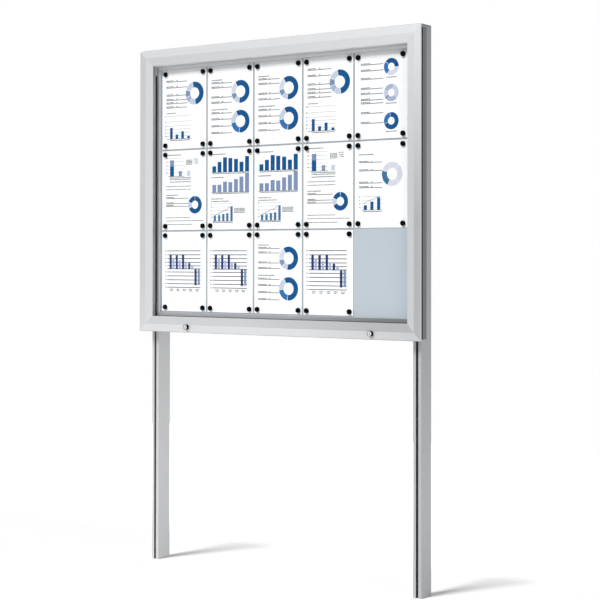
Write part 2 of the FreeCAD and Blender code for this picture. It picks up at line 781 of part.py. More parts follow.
def bolt_grid(owner, features):
    """Repeat features at the bolts: two posts, near the top and the bottom of the case."""
    pattern(owner, features, (2, f"(2 * {POST_X})"), (2, f"({TALL} - 2 * bolt_inset)"))
    return seat(owner, minus(POST_X), "0", "bolt_inset")


bolts = body("post_bolts")
head = sketch(bolts, "XZ_Plane", f"bolt_head_height - {BACK_WALL}")
hexagon(head, "bolt_flats")
head_pad = pad(bolts, head, "bolt_head_height", "back")
shank = sketch(bolts, "XZ_Plane", minus(BACK_WALL))
circles(shank, "bolt_radius", [("0", "0")])
shank_pad = pad(bolts, shank, "case_wall + bolt_length", "back")
node(bolt_grid(bolts, [head_pad, shank_pad]), "post_bolts")

slot_nuts = body("slot_nuts")
nut_front = "(case_depth + slot_lip)"
face = sketch(slot_nuts, "XZ_Plane", minus(nut_front))
nut_side = "(slot_room / 2 - fit_gap)"
rectangle(face, minus(nut_side), nut_side, "-slot_nut_length / 2", "slot_nut_length / 2")
circles(face, "bolt_radius + pin_gap", [("0", "0")])
node(bolt_grid(slot_nuts, [pad(slot_nuts, face, "slot_nut_height", "back")]), "slot_nuts")

# Cam locks in the bottom rail: housing and nut on the door, plug and cam turn together

barrel_end = f"({CAM_FRONT} - fit_gap)"
face_front = "(face_recess - lock_nose)"
face_rear = f"({face_front} + face_thick)"
plug_end = f"({CAM_FRONT} + cam_thick)"
bore = "(plug_radius + pin_gap)"
half_cam = "(cam_width / 2)"
keeper_arm = "(lock_inset + cam_reach + keeper_gap)"
tab_rear = f"({CAM_FRONT} - cam_gap)"
housings = []
nuts = []
keepers = []

for side, _ in SIDES:
    x = lock_places[side]

    housing = body(f"lock_housing_{side}")
    turned = sketch(housing, "XY_Plane")
    outline(
        turned,
        [
            ("face_radius + pin_gap", "-lock_nose"),
            ("head_radius - head_round", "-lock_nose"),
            ("head_radius", "head_round - lock_nose"),
            ("head_radius", "0"),
            ("barrel_outer_radius", "0"),
            ("barrel_outer_radius", barrel_end),
            (bore, barrel_end),
            (bore, f"{face_rear} + pin_gap"),
            ("face_radius + pin_gap", f"{face_rear} + pin_gap"),
        ],
    )
    revolve(housing, turned)
    housings.append(seat(housing, x, "0", "lock_inset"))

    nut = body(f"lock_nut_{side}")
    face = sketch(nut, "XZ_Plane", minus("rail_depth"))
    hexagon(face, "nut_flats")
    circles(face, "barrel_outer_radius + pin_gap", [("0", "0")])
    pad(nut, face, "nut_height", "back")
    nuts.append(seat(nut, x, "0", "lock_inset"))

    plug = body(f"lock_plug_{side}")
    turned = sketch(plug, "XY_Plane")
    outline(
        turned,
        [
            ("0", face_front),
            ("face_radius", face_front),
            ("face_radius", face_rear),
            ("plug_radius", face_rear),
            ("plug_radius", plug_end),
            ("0", plug_end),
        ],
    )
    revolve(plug, turned)
    keyway = sketch(plug, "XZ_Plane", minus(face_front))
    key_wide = "key_slot_width / 2"
    key_tall = "key_slot_length / 2"
    rectangle(keyway, minus(key_wide), key_wide, minus(key_tall), key_tall)
    pocket(plug, keyway, "key_slot_depth")
    node(seat(plug, x, "0", "lock_inset"), f"lock_plug_{side}")

    cam = body(f"lock_cam_{side}")
    face = sketch(cam, "XZ_Plane", minus(CAM_FRONT))
    outline(
        face,
        [
            (f"hub_corner - {half_cam}", minus(half_cam)),
            ("cam_reach - cam_corner", minus(half_cam)),
            ("cam_reach", f"cam_corner - {half_cam}"),
            ("cam_reach", f"{half_cam} - cam_corner"),
            ("cam_reach - cam_corner", half_cam),
            (f"hub_corner - {half_cam}", half_cam),
            (minus(half_cam), f"{half_cam} - hub_corner"),
            (minus(half_cam), f"hub_corner - {half_cam}"),
        ],
    )
    circles(face, bore, [("0", "0")])
    pad(cam, face, "cam_thick", "back")
    node(seat(cam, x, "0", "lock_inset"), f"lock_cam_{side}")

    keeper = body(f"lock_keeper_{side}")
    profile = sketch(keeper, "YZ_Plane")
    keeper_top = f"{keeper_arm} + keeper_foot"
    tab_end = f"{keeper_arm} + bracket_thick"
    outline(
        profile,
        [
            (BACK_WALL, keeper_arm),
            (BACK_WALL, keeper_top),
            (f"{BACK_WALL} - bracket_thick", keeper_top),
            (f"{BACK_WALL} - bracket_thick", tab_end),
            (f"{tab_rear} - bracket_thick", tab_end),
            (f"{tab_rear} - bracket_thick", f"{tab_end} - keeper_tab"),
            (tab_rear, f"{tab_end} - keeper_tab"),
            (tab_rear, keeper_arm),
        ],
    )
    pad(keeper, profile, "keeper_width", "middle")
    keepers.append(seat(keeper, x))

node(group("lock_housing_pair", housings), "lock_housings")
node(group("lock_nut_pair", nuts), "lock_nuts")
node(group("lock_keeper_pair", keepers), "lock_keepers")

# Gas struts between the case's rear wall and the door rails

high_pivot = f"({AXIS} - strut_high)"
tube_top = "(tube_start + tube_length)"
rod_top = f"({tube_top} + rod_show)"
low_pivot = f"({high_pivot} - {rod_top} - tube_start)"
piston_radius = "(tube_bore_radius - fit_gap)"
rod_bore = "(rod_radius + pin_gap)"


def across(way, start, end):
    """Low and high x between two distances from the door's left or right side."""
    if way < 0:
        return f"{start} - {HALF}", f"{end} - {HALF}"
    return f"{HALF} - ({end})", f"{HALF} - ({start})"


def along_x(name, radius, way, start, end, z):
    """A cylinder along X between two distances from the door's side, at the struts' depth."""
    low, high = across(way, start, end)
    return cylinder(name, radius, f"({high}) - ({low})", low, "strut_setback", z, "x")


def strut_eye(name, x, pivot, up):
    """End fitting: a block from round the pivot to the strut, which is above or below ("-") it."""
    eye = body(name)
    face = sketch(eye, "YZ_Plane")
    neck = f"{up}tube_start"
    shoulder = f"{up}(eye_corner - eye_half)"
    tip = f"{up}(-eye_half)"
    side = [("eye_half", neck), ("eye_half", shoulder), ("eye_half - eye_corner", tip)]
    outline(face, mirrored(side))
    circles(face, "stud_radius + pin_gap", [("0", "0")])
    pad(eye, face, "eye_width", "middle")
    return node(seat(eye, x, "strut_setback", pivot), name)


case_brackets = []
door_brackets = []

for side, way in SIDES:
    middle = f"{way} * ({HALF} - strut_inset)"

    tube = body(f"strut_tube_{side}")
    turned = sketch(tube, "XZ_Plane")
    outline(
        turned,
        [
            ("0", "tube_start"),
            ("tube_radius", "tube_start"),
            ("tube_radius", tube_top),
            (rod_bore, tube_top),
            (rod_bore, f"{tube_top} - gland_length"),
            ("tube_bore_radius", f"{tube_top} - gland_length"),
            ("tube_bore_radius", "tube_start + tube_end"),
            ("0", "tube_start + tube_end"),
        ],
    )
    revolve(tube, turned)
    node(seat(tube, middle, "strut_setback", low_pivot), f"strut_tube_{side}")

    rod = body(f"strut_rod_{side}")
    turned = sketch(rod, "XZ_Plane")
    outline(
        turned,
        [
            ("0", f"{rod_top} - rod_length"),
            (piston_radius, f"{rod_top} - rod_length"),
            (piston_radius, f"{rod_top} - rod_length + piston_length"),
            ("rod_radius", f"{rod_top} - rod_length + piston_length"),
            ("rod_radius", rod_top),
            ("0", rod_top),
        ],
    )
    revolve(rod, turned)
    node(seat(rod, middle, "strut_setback", low_pivot), f"strut_rod_{side}")

    strut_eye(f"strut_eye_lower_{side}", middle, low_pivot, "")
    strut_eye(f"strut_eye_upper_{side}", middle, high_pivot, "-")

    name = f"case_bracket_{side}"
    ear = "(strut_inset + case_ear_offset)"
    stud_end = "(strut_inset - eye_width / 2 - fit_gap)"
    head_radius = "stud_radius + stud_rim"
    foot_z = (f"{low_pivot} - bracket_height / 2", f"{low_pivot} + bracket_height / 2")
    ear_z = (f"{low_pivot} - ear_reach", f"{low_pivot} + ear_reach")
    foot_x = across(way, ear, f"{ear} + foot_width")
    ear_x = across(way, ear, f"{ear} + bracket_thick")
    pieces = [
        block(name + "_foot", foot_x, (f"{BACK_WALL} - bracket_thick", BACK_WALL), foot_z),
        block(name + "_ear", ear_x, ("strut_setback - ear_reach", BACK_WALL), ear_z),
        along_x(name + "_stud", "stud_radius", way, stud_end, ear, low_pivot),
        along_x(name + "_head", head_radius, way, f"{stud_end} - stud_head", stud_end, low_pivot),
    ]
    case_brackets.append(fuse(name, pieces))

    name = f"door_bracket_{side}"
    ear = "(strut_inset + door_ear_offset)"
    stud_end = "(strut_inset + eye_width / 2 + fit_gap)"
    foot_z = (f"{high_pivot} - bracket_height / 2", f"{high_pivot} + bracket_height / 2")
    ear_z = (f"{high_pivot} - ear_reach", f"{high_pivot} + ear_reach")
    foot_x = across(way, ear, f"{REBATE} - fit_gap")
    ear_x = across(way, ear, f"{ear} + bracket_thick")
    pieces = [
        block(name + "_foot", foot_x, ("rail_depth", "rail_depth + bracket_thick"), foot_z),
        block(name + "_ear", ear_x, ("rail_depth", "strut_setback + ear_reach"), ear_z),
        along_x(name + "_stud", "stud_radius", way, stud_end, ear, high_pivot),
    ]
    door_brackets.append(fuse(name, pieces))

node(group("case_bracket_pair", case_brackets), "strut_brackets_case")
node(group("door_bracket_pair", door_brackets), "strut_brackets_door")

doc.recompute()
for made in doc.Objects:
    if "Invalid" in made.State or "Error" in made.State:
        raise ValueError(f"{made.Name} failed: {made.State}")
for made in nodes:
    if made.Shape.isNull() or not made.Shape.isValid():
        raise ValueError(made.Label + " has no valid shape")

os.makedirs("parts", exist_ok=True)
for made in nodes:
    made.Shape.exportStep(f"parts/{made.Label}.step")
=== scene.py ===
import math
import random

import bmesh
import bpy
from mathutils import Matrix, Vector


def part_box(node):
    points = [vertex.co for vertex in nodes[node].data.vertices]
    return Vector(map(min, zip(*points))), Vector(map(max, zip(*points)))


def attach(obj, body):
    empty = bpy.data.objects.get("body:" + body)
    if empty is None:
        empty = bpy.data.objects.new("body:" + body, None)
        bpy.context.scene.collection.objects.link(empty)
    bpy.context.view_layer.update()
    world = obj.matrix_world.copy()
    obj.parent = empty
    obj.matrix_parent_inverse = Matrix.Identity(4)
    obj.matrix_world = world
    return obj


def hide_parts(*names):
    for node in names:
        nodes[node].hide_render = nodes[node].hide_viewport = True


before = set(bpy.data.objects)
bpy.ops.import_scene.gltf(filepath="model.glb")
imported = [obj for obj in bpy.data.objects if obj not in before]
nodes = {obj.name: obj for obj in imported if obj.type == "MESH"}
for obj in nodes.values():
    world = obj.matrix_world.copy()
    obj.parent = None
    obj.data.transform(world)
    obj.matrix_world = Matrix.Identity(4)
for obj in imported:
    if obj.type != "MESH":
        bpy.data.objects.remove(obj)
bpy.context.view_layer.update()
mm = 0.001  # one millimetre; the scene is in metres


# camera

cameraSetup = {
    "place": (3.1412, -4.3345, 1.1278),
    "yaw": 35.151,  # degrees to the left of +Y
    "pitch": -0.729,  # degrees downwards
    "roll": 0.068,  # degrees
    "lens": 91.05,  # lens and sensor in millimetres
    "sensor": 36,
    "shift": -0.1046,  # share of the picture's width
    "reach": 60,
}


def makeCamera(setup):
    yaw, pitch, roll = (math.radians(setup[key]) for key in ("yaw", "pitch", "roll"))
    forward = Vector((-math.sin(yaw) * math.cos(pitch), math.cos(yaw) * math.cos(pitch), -math.sin(pitch)))
    right = Vector((math.cos(yaw), math.sin(yaw), 0))
    up = right.cross(forward)
    across = math.cos(roll) * right + math.sin(roll) * up
    above = math.cos(roll) * up - math.sin(roll) * right
    lens = bpy.data.cameras.new("photoCamera")
    lens.lens = setup["lens"]
    lens.sensor_width = setup["sensor"]
    lens.shift_y = setup["shift"]
    lens.clip_end = setup["reach"]
    camera = bpy.data.objects.new("photoCamera", lens)
    bpy.context.scene.collection.objects.link(camera)
    turn = Matrix((across, above, -forward)).transposed().to_4x4()
    camera.matrix_world = Matrix.Translation(setup["place"]) @ turn
    bpy.context.scene.camera = camera


makeCamera(cameraSetup)
bpy.context.scene.view_settings.view_transform = "Standard"
print("camera set")


# node helpers

def feed(tree, socket, value):
    # value is the output of another node, a number, a vector or a colour
    if hasattr(value, "is_output"):
        tree.links.new(value, socket)
    elif socket.type == "RGBA":
        socket.default_value = (*value, 1)
    else:
        socket.default_value = value


def newGroup(name, inputs, outputs):
    tree = bpy.data.node_groups.new(name, "ShaderNodeTree")
    for way, sockets in (("INPUT", inputs), ("OUTPUT", outputs)):
        for label, kind in sockets.items():
            tree.interface.new_socket(label, in_out=way, socket_type="NodeSocket" + kind)
    return tree, tree.nodes.new("NodeGroupInput"), tree.nodes.new("NodeGroupOutput")


def addMath(tree, operation, first, second=None, clamp=False):
    node = tree.nodes.new("ShaderNodeMath")
    node.operation = operation
    node.use_clamp = clamp
    feed(tree, node.inputs[0], first)
    if second is not None:
        feed(tree, node.inputs[1], second)
    return node.outputs[0]


def addRange(tree, value, low, high, toLow, toHigh):
    node = tree.nodes.new("ShaderNodeMapRange")
    for slot, part in enumerate((value, low, high, toLow, toHigh)):
        feed(tree, node.inputs[slot], part)
    return node.outputs[0]


def addNoise(tree, vector, scale, detail, rough):
    node = tree.nodes.new("ShaderNodeTexNoise")
    for label, value in (("Vector", vector), ("Scale", scale), ("Detail", detail), ("Roughness", rough)):
        feed(tree, node.inputs[label], value)
    return node.outputs["Fac"]


def addVectorMath(tree, operation, first, second):
    node = tree.nodes.new("ShaderNodeVectorMath")
    node.operation = operation
    feed(tree, node.inputs[0], first)
    feed(tree, node.inputs[1], second)
    return node


def objectPoint(tree):
    return tree.nodes.new("ShaderNodeTexCoord").outputs["Object"]


def objectAxes(tree):
    split = tree.nodes.new("ShaderNodeSeparateXYZ")
    tree.links.new(objectPoint(tree), split.inputs[0])
    return split.outputs


def withinMask(tree, tests):
    # a test is (axis, low, high), where the axis "side" is the distance from the middle of the board
    axes = objectAxes(tree)
    mask = None
    for axis, low, high in tests:
        value = addMath(tree, "ABSOLUTE", axes["X"]) if axis == "side" else axes[axis]
        away = addMath(tree, "ABSOLUTE", addMath(tree, "SUBTRACT", value, (low + high) / 2))
        within = addMath(tree, "LESS_THAN", away, (high - low) / 2)
        mask = within if mask is None else addMath(tree, "MULTIPLY", mask, within)
    return mask


# shared effects; a noise is (scale, detail, roughness)

grainSetup = {
    "fine": (1.0, 4.0, 2.0),
    "smudge": (7.0, 3.0, 0.55),
    "smudgeStrength": 0.05,
    "fineShare": 0.5,
    "spread": (0.3, 0.7),  # values of the mixed noise that give the lowest and the highest roughness
}


def buildDrawnGrain(setup):
    tree, given, result = newGroup(
        "drawnGrain",
        {"Stretch": "Vector", "Strength": "Float", "Low": "Float", "High": "Float"},
        {"Shade": "Float", "Roughness": "Float", "Height": "Float"},
    )
    point = objectPoint(tree)
    stretched = addVectorMath(tree, "MULTIPLY", point, given.outputs["Stretch"]).outputs[0]
    fine = addNoise(tree, stretched, *setup["fine"])
    smudge = addNoise(tree, point, *setup["smudge"])
    swing = addMath(tree, "MULTIPLY", addMath(tree, "SUBTRACT", fine, 0.5), given.outputs["Strength"])
    drift = addMath(tree, "MULTIPLY", addMath(tree, "SUBTRACT", smudge, 0.5), setup["smudgeStrength"])
    shade = addMath(tree, "ADD", addMath(tree, "ADD", swing, drift), 1.0)
    finePart = addMath(tree, "MULTIPLY", fine, setup["fineShare"])
    smudgePart = addMath(tree, "MULTIPLY", smudge, 1 - setup["fineShare"])
    blend = addMath(tree, "ADD", finePart, smudgePart)
    rough = addRange(tree, blend, *setup["spread"], given.outputs["Low"], given.outputs["High"])
    tree.links.new(shade, result.inputs["Shade"])
    tree.links.new(rough, result.inputs["Roughness"])
    tree.links.new(fine, result.inputs["Height"])
    return tree


edgeWearAndSheenSetup = {
    "samples": 4,
    "broken": (60.0, 2.0, 0.5),
    "brokenRange": (0.3, 0.7, 0.5, 1.0),
    "gain": 3.0,
}


# lighter edges found with a Bevel node: worn edges, and on the satin aluminium a painted highlight along its
# edges and creases
def buildEdgeWearAndSheen(setup):
    tree, given, result = newGroup("edgeWearAndSheenGroup", {"Width": "Float", "Amount": "Float"}, {"Mask": "Float"})
    rounded = tree.nodes.new("ShaderNodeBevel")
    rounded.samples = setup["samples"]
    tree.links.new(given.outputs["Width"], rounded.inputs["Radius"])
    plain = tree.nodes.new("ShaderNodeNewGeometry")
    alike = addVectorMath(tree, "DOT_PRODUCT", rounded.outputs["Normal"], plain.outputs["Normal"])
    turned = addMath(tree, "SUBTRACT", 1.0, alike.outputs["Value"], clamp=True)
    broken = addRange(tree, addNoise(tree, objectPoint(tree), *setup["broken"]), *setup["brokenRange"])
    scaled = addMath(tree, "MULTIPLY", addMath(tree, "MULTIPLY", turned, setup["gain"]), broken)
    mask = addMath(tree, "MULTIPLY", scaled, given.outputs["Amount"], clamp=True)
    tree.links.new(mask, result.inputs["Mask"])
    return tree


mottleSetup = {
    "fineDetail": 3.0,
    "fineRough": 2.0,
    "broad": (9.0, 2.0, 1.8),
    "fineShare": 0.6,
    "spread": (0.35, 0.65),
}


def buildMottle(setup):
    tree, given, result = newGroup(
        "mottle",
        {"Size": "Float", "Strength": "Float", "Low": "Float", "High": "Float"},
        {"Shade": "Float", "Roughness": "Float", "Height": "Float"},
    )
    point = objectPoint(tree)
    fine = addNoise(tree, point, given.outputs["Size"], setup["fineDetail"], setup["fineRough"])
    broad = addNoise(tree, point, *setup["broad"])
    finePart = addMath(tree, "MULTIPLY", fine, setup["fineShare"])
    broadPart = addMath(tree, "MULTIPLY", broad, 1 - setup["fineShare"])
    mixed = addMath(tree, "ADD", finePart, broadPart)
    swing = addMath(tree, "MULTIPLY", addMath(tree, "SUBTRACT", mixed, 0.5), given.outputs["Strength"])
    rough = addRange(tree, mixed, *setup["spread"], given.outputs["Low"], given.outputs["High"])
    tree.links.new(addMath(tree, "ADD", swing, 1.0), result.inputs["Shade"])
    tree.links.new(rough, result.inputs["Roughness"])
    tree.links.new(fine, result.inputs["Height"])
    return tree


drawnGrain = buildDrawnGrain(grainSetup)
edgeWearAndSheenGroup = buildEdgeWearAndSheen(edgeWearAndSheenSetup)
mottle = buildMottle(mottleSetup)
print("shared effects built")


# material helpers

def startMaterial(name):
    material = bpy.data.materials.new(name)
    material.use_nodes = True
    tree = material.node_tree
    shader = next(node for node in tree.nodes if node.type == "BSDF_PRINCIPLED")
    return material, tree, shader


def placeGroup(tree, group, **values):
    node = tree.nodes.new("ShaderNodeGroup")
    node.node_tree = group
    for label, value in values.items():
        node.inputs[label].default_value = value
    return node


def blendColours(tree, mode, factor, first, second):
    node = tree.nodes.new("ShaderNodeMix")
    node.data_type = "RGBA"
    node.blend_type = mode
    for label, value in (("Factor", factor), ("A", first), ("B", second)):
        feed(tree, node.inputs[label], value)
    return node.outputs["Result"]


def shadeColour(tree, colour, shade):
    return blendColours(tree, "MULTIPLY", 1.0, colour, shade)


def mixColour(tree, mask, first, second):
    return blendColours(tree, "MIX", mask, first, second)


def addBump(tree, shader, height, strength, distance):
    bump = tree.nodes.new("ShaderNodeBump")
    bump.inputs["Strength"].default_value = strength
    bump.inputs["Distance"].default_value = distance
    tree.links.new(height, bump.inputs["Height"])
    tree.links.new(bump.outputs["Normal"], shader.inputs["Normal"])


# zones of a material, where it takes another tone: painted light and shade on facets, reveal walls, lips,
# outer sides and recesses

# metres
zoneAt = {
    "bevelStart": 0.0002,  # behind the door's front face
    "revealStart": 0.0086,  # behind the door's front face
    "keywayStart": 0.0003,  # behind the plug's face
    "postRise": 0.001,  # before the posts' front face
    "postSkin": 0.0004,  # behind the posts' front face, and before their rear
    "slotHalf": 0.009,  # half of the slot's room
    "margin": 0.004,  # how far a zone reaches past the edge that it follows
    "beyond": 9,  # past everything on the object
    "caseLip": (-0.022, -0.008),  # from y, to y
    "gasketTop": (1.80, 1.90),  # from z, to z
}

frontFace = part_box("door_top_rail")[0].y
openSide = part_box("door_right_rail")[0].x  # from the board's middle to the side of the door's opening
openLow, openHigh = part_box("door_bottom_rail")[1].z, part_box("door_top_rail")[0].z
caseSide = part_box("case_right_profile")[1].x
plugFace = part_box("lock_plug_left")[0].y
postLow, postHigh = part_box("post_right")
postMiddle = (postLow.x + postHigh.x) / 2
margin, beyond = zoneAt["margin"], zoneAt["beyond"]
roomFront, roomRear = postLow.y + zoneAt["postSkin"], postHigh.y - zoneAt["postSkin"]

bevel = [("Y", frontFace + zoneAt["bevelStart"], beyond)]
reveal = ("Y", frontFace + zoneAt["revealStart"], beyond)
innerSide = [reveal, ("side", 0, openSide + margin)]
innerLevel = [reveal, ("Z", openLow - margin, openHigh + margin)]
caseOutside = [("side", caseSide - margin, beyond)]
caseLip = [("Y", *zoneAt["caseLip"])]
gasketTop = [("Z", *zoneAt["gasketTop"])]
keywayRoom = [("Y", plugFace + zoneAt["keywayStart"], frontFace)]
postFace = [("Y", postLow.y - zoneAt["postRise"], roomFront)]
slotRoom = [
    ("Y", roomFront, roomRear),
    ("side", postMiddle - zoneAt["slotHalf"], postMiddle + zoneAt["slotHalf"]),
]


# materials

satin = {
    "along": {"x": (6, 900, 900), "z": (900, 900, 6)},  # stretch of the grain
    "grain": {"Strength": 0.07, "Low": 0.42, "High": 0.54},
    "edgeWearAndSheen": {"Width": 0.0008, "Amount": 0.6},
    # colour of the painted highlight along edges and creases
    "edge": (0.86, 0.87, 0.88),
    "metallic": 0.3,
    "bump": 0.15,
    "bumpDepth": 0.00005,
}


def satinAluminium(name, along, colour, zones=(), drift=None):
    # a zone is (tests, colour, drift), a lighter or darker tone of painted light and shade; a drift is
    # (axis, low, high, factor at low, factor at high) or None, a painted ramp of light across the part
    material, tree, shader = startMaterial(name)
    axes = objectAxes(tree)

    def withPaintedLightRamp(shade, change):
        return shadeColour(tree, shade, addRange(tree, axes[change[0]], *change[1:])) if change else shade

    colour = withPaintedLightRamp(colour, drift)
    for tests, zoneColour, zonePaintedLightRamp in zones:
        colour = mixColour(tree, withinMask(tree, tests), colour, withPaintedLightRamp(zoneColour, zonePaintedLightRamp))
    grain = placeGroup(tree, drawnGrain, Stretch=satin["along"][along], **satin["grain"])
    # painted highlight: edges and creases are mixed towards the lighter edge colour
    edgeWearAndSheen = placeGroup(tree, edgeWearAndSheenGroup, **satin["edgeWearAndSheen"])
    grained = shadeColour(tree, colour, grain.outputs["Shade"])
    tree.links.new(mixColour(tree, edgeWearAndSheen.outputs["Mask"], grained, satin["edge"]), shader.inputs["Base Color"])
    tree.links.new(grain.outputs["Roughness"], shader.inputs["Roughness"])
    shader.inputs["Metallic"].default_value = satin["metallic"]
    addBump(tree, shader, grain.outputs["Height"], satin["bump"], satin["bumpDepth"])
    return material


moulded = {
    "spread": 0.35,
    "rubWidth": 0.0004,
    "wornGain": 2.2,
    "wornLift": 0.02,
    "bumpDepth": 0.00004,
}


def mouldedBlack(
    name, colour, low, high, bump=0.2, size=1500.0, metallic=0.0, coat=0.0, gloss=0.5, wear=0.5, zones=()
):
    # a zone is (tests, colour)
    material, tree, shader = startMaterial(name)
    surface = placeGroup(tree, mottle, Size=size, Strength=moulded["spread"], Low=low, High=high)
    edgeWearAndSheen = placeGroup(tree, edgeWearAndSheenGroup, Width=moulded["rubWidth"], Amount=wear)
    worn = tuple(min(1.0, part * moulded["wornGain"] + moulded["wornLift"]) for part in colour)
    for tests, zoneColour in zones:
        colour = mixColour(tree, withinMask(tree, tests), colour, zoneColour)
    shaded = shadeColour(tree, colour, surface.outputs["Shade"])
    tree.links.new(mixColour(tree, edgeWearAndSheen.outputs["Mask"], shaded, worn), shader.inputs["Base Color"])
    tree.links.new(surface.outputs["Roughness"], shader.inputs["Roughness"])
    shader.inputs["Metallic"].default_value = metallic
    shader.inputs["Coat Weight"].default_value = coat
    shader.inputs["Specular IOR Level"].default_value = gloss
    addBump(tree, shader, surface.outputs["Height"], bump, moulded["bumpDepth"])
    return material


plated = {
    "size": 700.0,
    "edgeWearAndSheen": {"Width": 0.0003, "Amount": 0.5},
    "edge": (0.9, 0.9, 0.9),
    "bump": 0.1,
    "bumpDepth": 0.00003,
}


def platedMetal(name, colour, low, high, spread=0.12, zones=()):
    # a zone is (tests, colour)
    material, tree, shader = startMaterial(name)
    surface = placeGroup(tree, mottle, Size=plated["size"], Strength=spread, Low=low, High=high)
    edgeWearAndSheen = placeGroup(tree, edgeWearAndSheenGroup, **plated["edgeWearAndSheen"])
    shaded = shadeColour(tree, colour, surface.outputs["Shade"])
    shaded = mixColour(tree, edgeWearAndSheen.outputs["Mask"], shaded, plated["edge"])
    for tests, zoneColour in zones:
        shaded = mixColour(tree, withinMask(tree, tests), shaded, zoneColour)
    tree.links.new(shaded, shader.inputs["Base Color"])
    tree.links.new(surface.outputs["Roughness"], shader.inputs["Roughness"])
    shader.inputs["Metallic"].default_value = 1.0
    addBump(tree, shader, surface.outputs["Height"], plated["bump"], plated["bumpDepth"])
    return material


coated = {"bumpDepth": 0.00003}


def coatedSheet(name, colour, spread, low, high, size, bump, gloss=0.5):
    material, tree, shader = startMaterial(name)
    surface = placeGroup(tree, mottle, Size=size, Strength=spread, Low=low, High=high)
    tree.links.new(shadeColour(tree, colour, surface.outputs["Shade"]), shader.inputs["Base Color"])
    tree.links.new(surface.outputs["Roughness"], shader.inputs["Roughness"])
    shader.inputs["Specular IOR Level"].default_value = gloss
    addBump(tree, shader, surface.outputs["Height"], bump, coated["bumpDepth"])
    return material


pane = {
    "film": {"Size": 30.0, "Strength": 0.3, "Low": 0.02, "High": 0.06},
    "tint": (0.10, 0.16, 0.15),
    "facing": 0.5,
    "power": 4.0,
    "rimCover": 0.6,
    "plainCover": 0.006,
    "ior": 1.5,
}


def clearPane(name, setup):
    material, tree, shader = startMaterial(name)
    film = placeGroup(tree, mottle, **setup["film"])
    turned = tree.nodes.new("ShaderNodeLayerWeight")
    turned.inputs["Blend"].default_value = setup["facing"]
    gloss = addMath(tree, "POWER", turned.outputs["Facing"], setup["power"])
    rim = addMath(tree, "MULTIPLY", gloss, setup["rimCover"])
    cover = addMath(tree, "ADD", rim, setup["plainCover"], clamp=True)
    tree.links.new(cover, shader.inputs["Alpha"])
    tree.links.new(shadeColour(tree, setup["tint"], film.outputs["Shade"]), shader.inputs["Base Color"])
    tree.links.new(film.outputs["Roughness"], shader.inputs["Roughness"])
    shader.inputs["IOR"].default_value = setup["ior"]
    return material


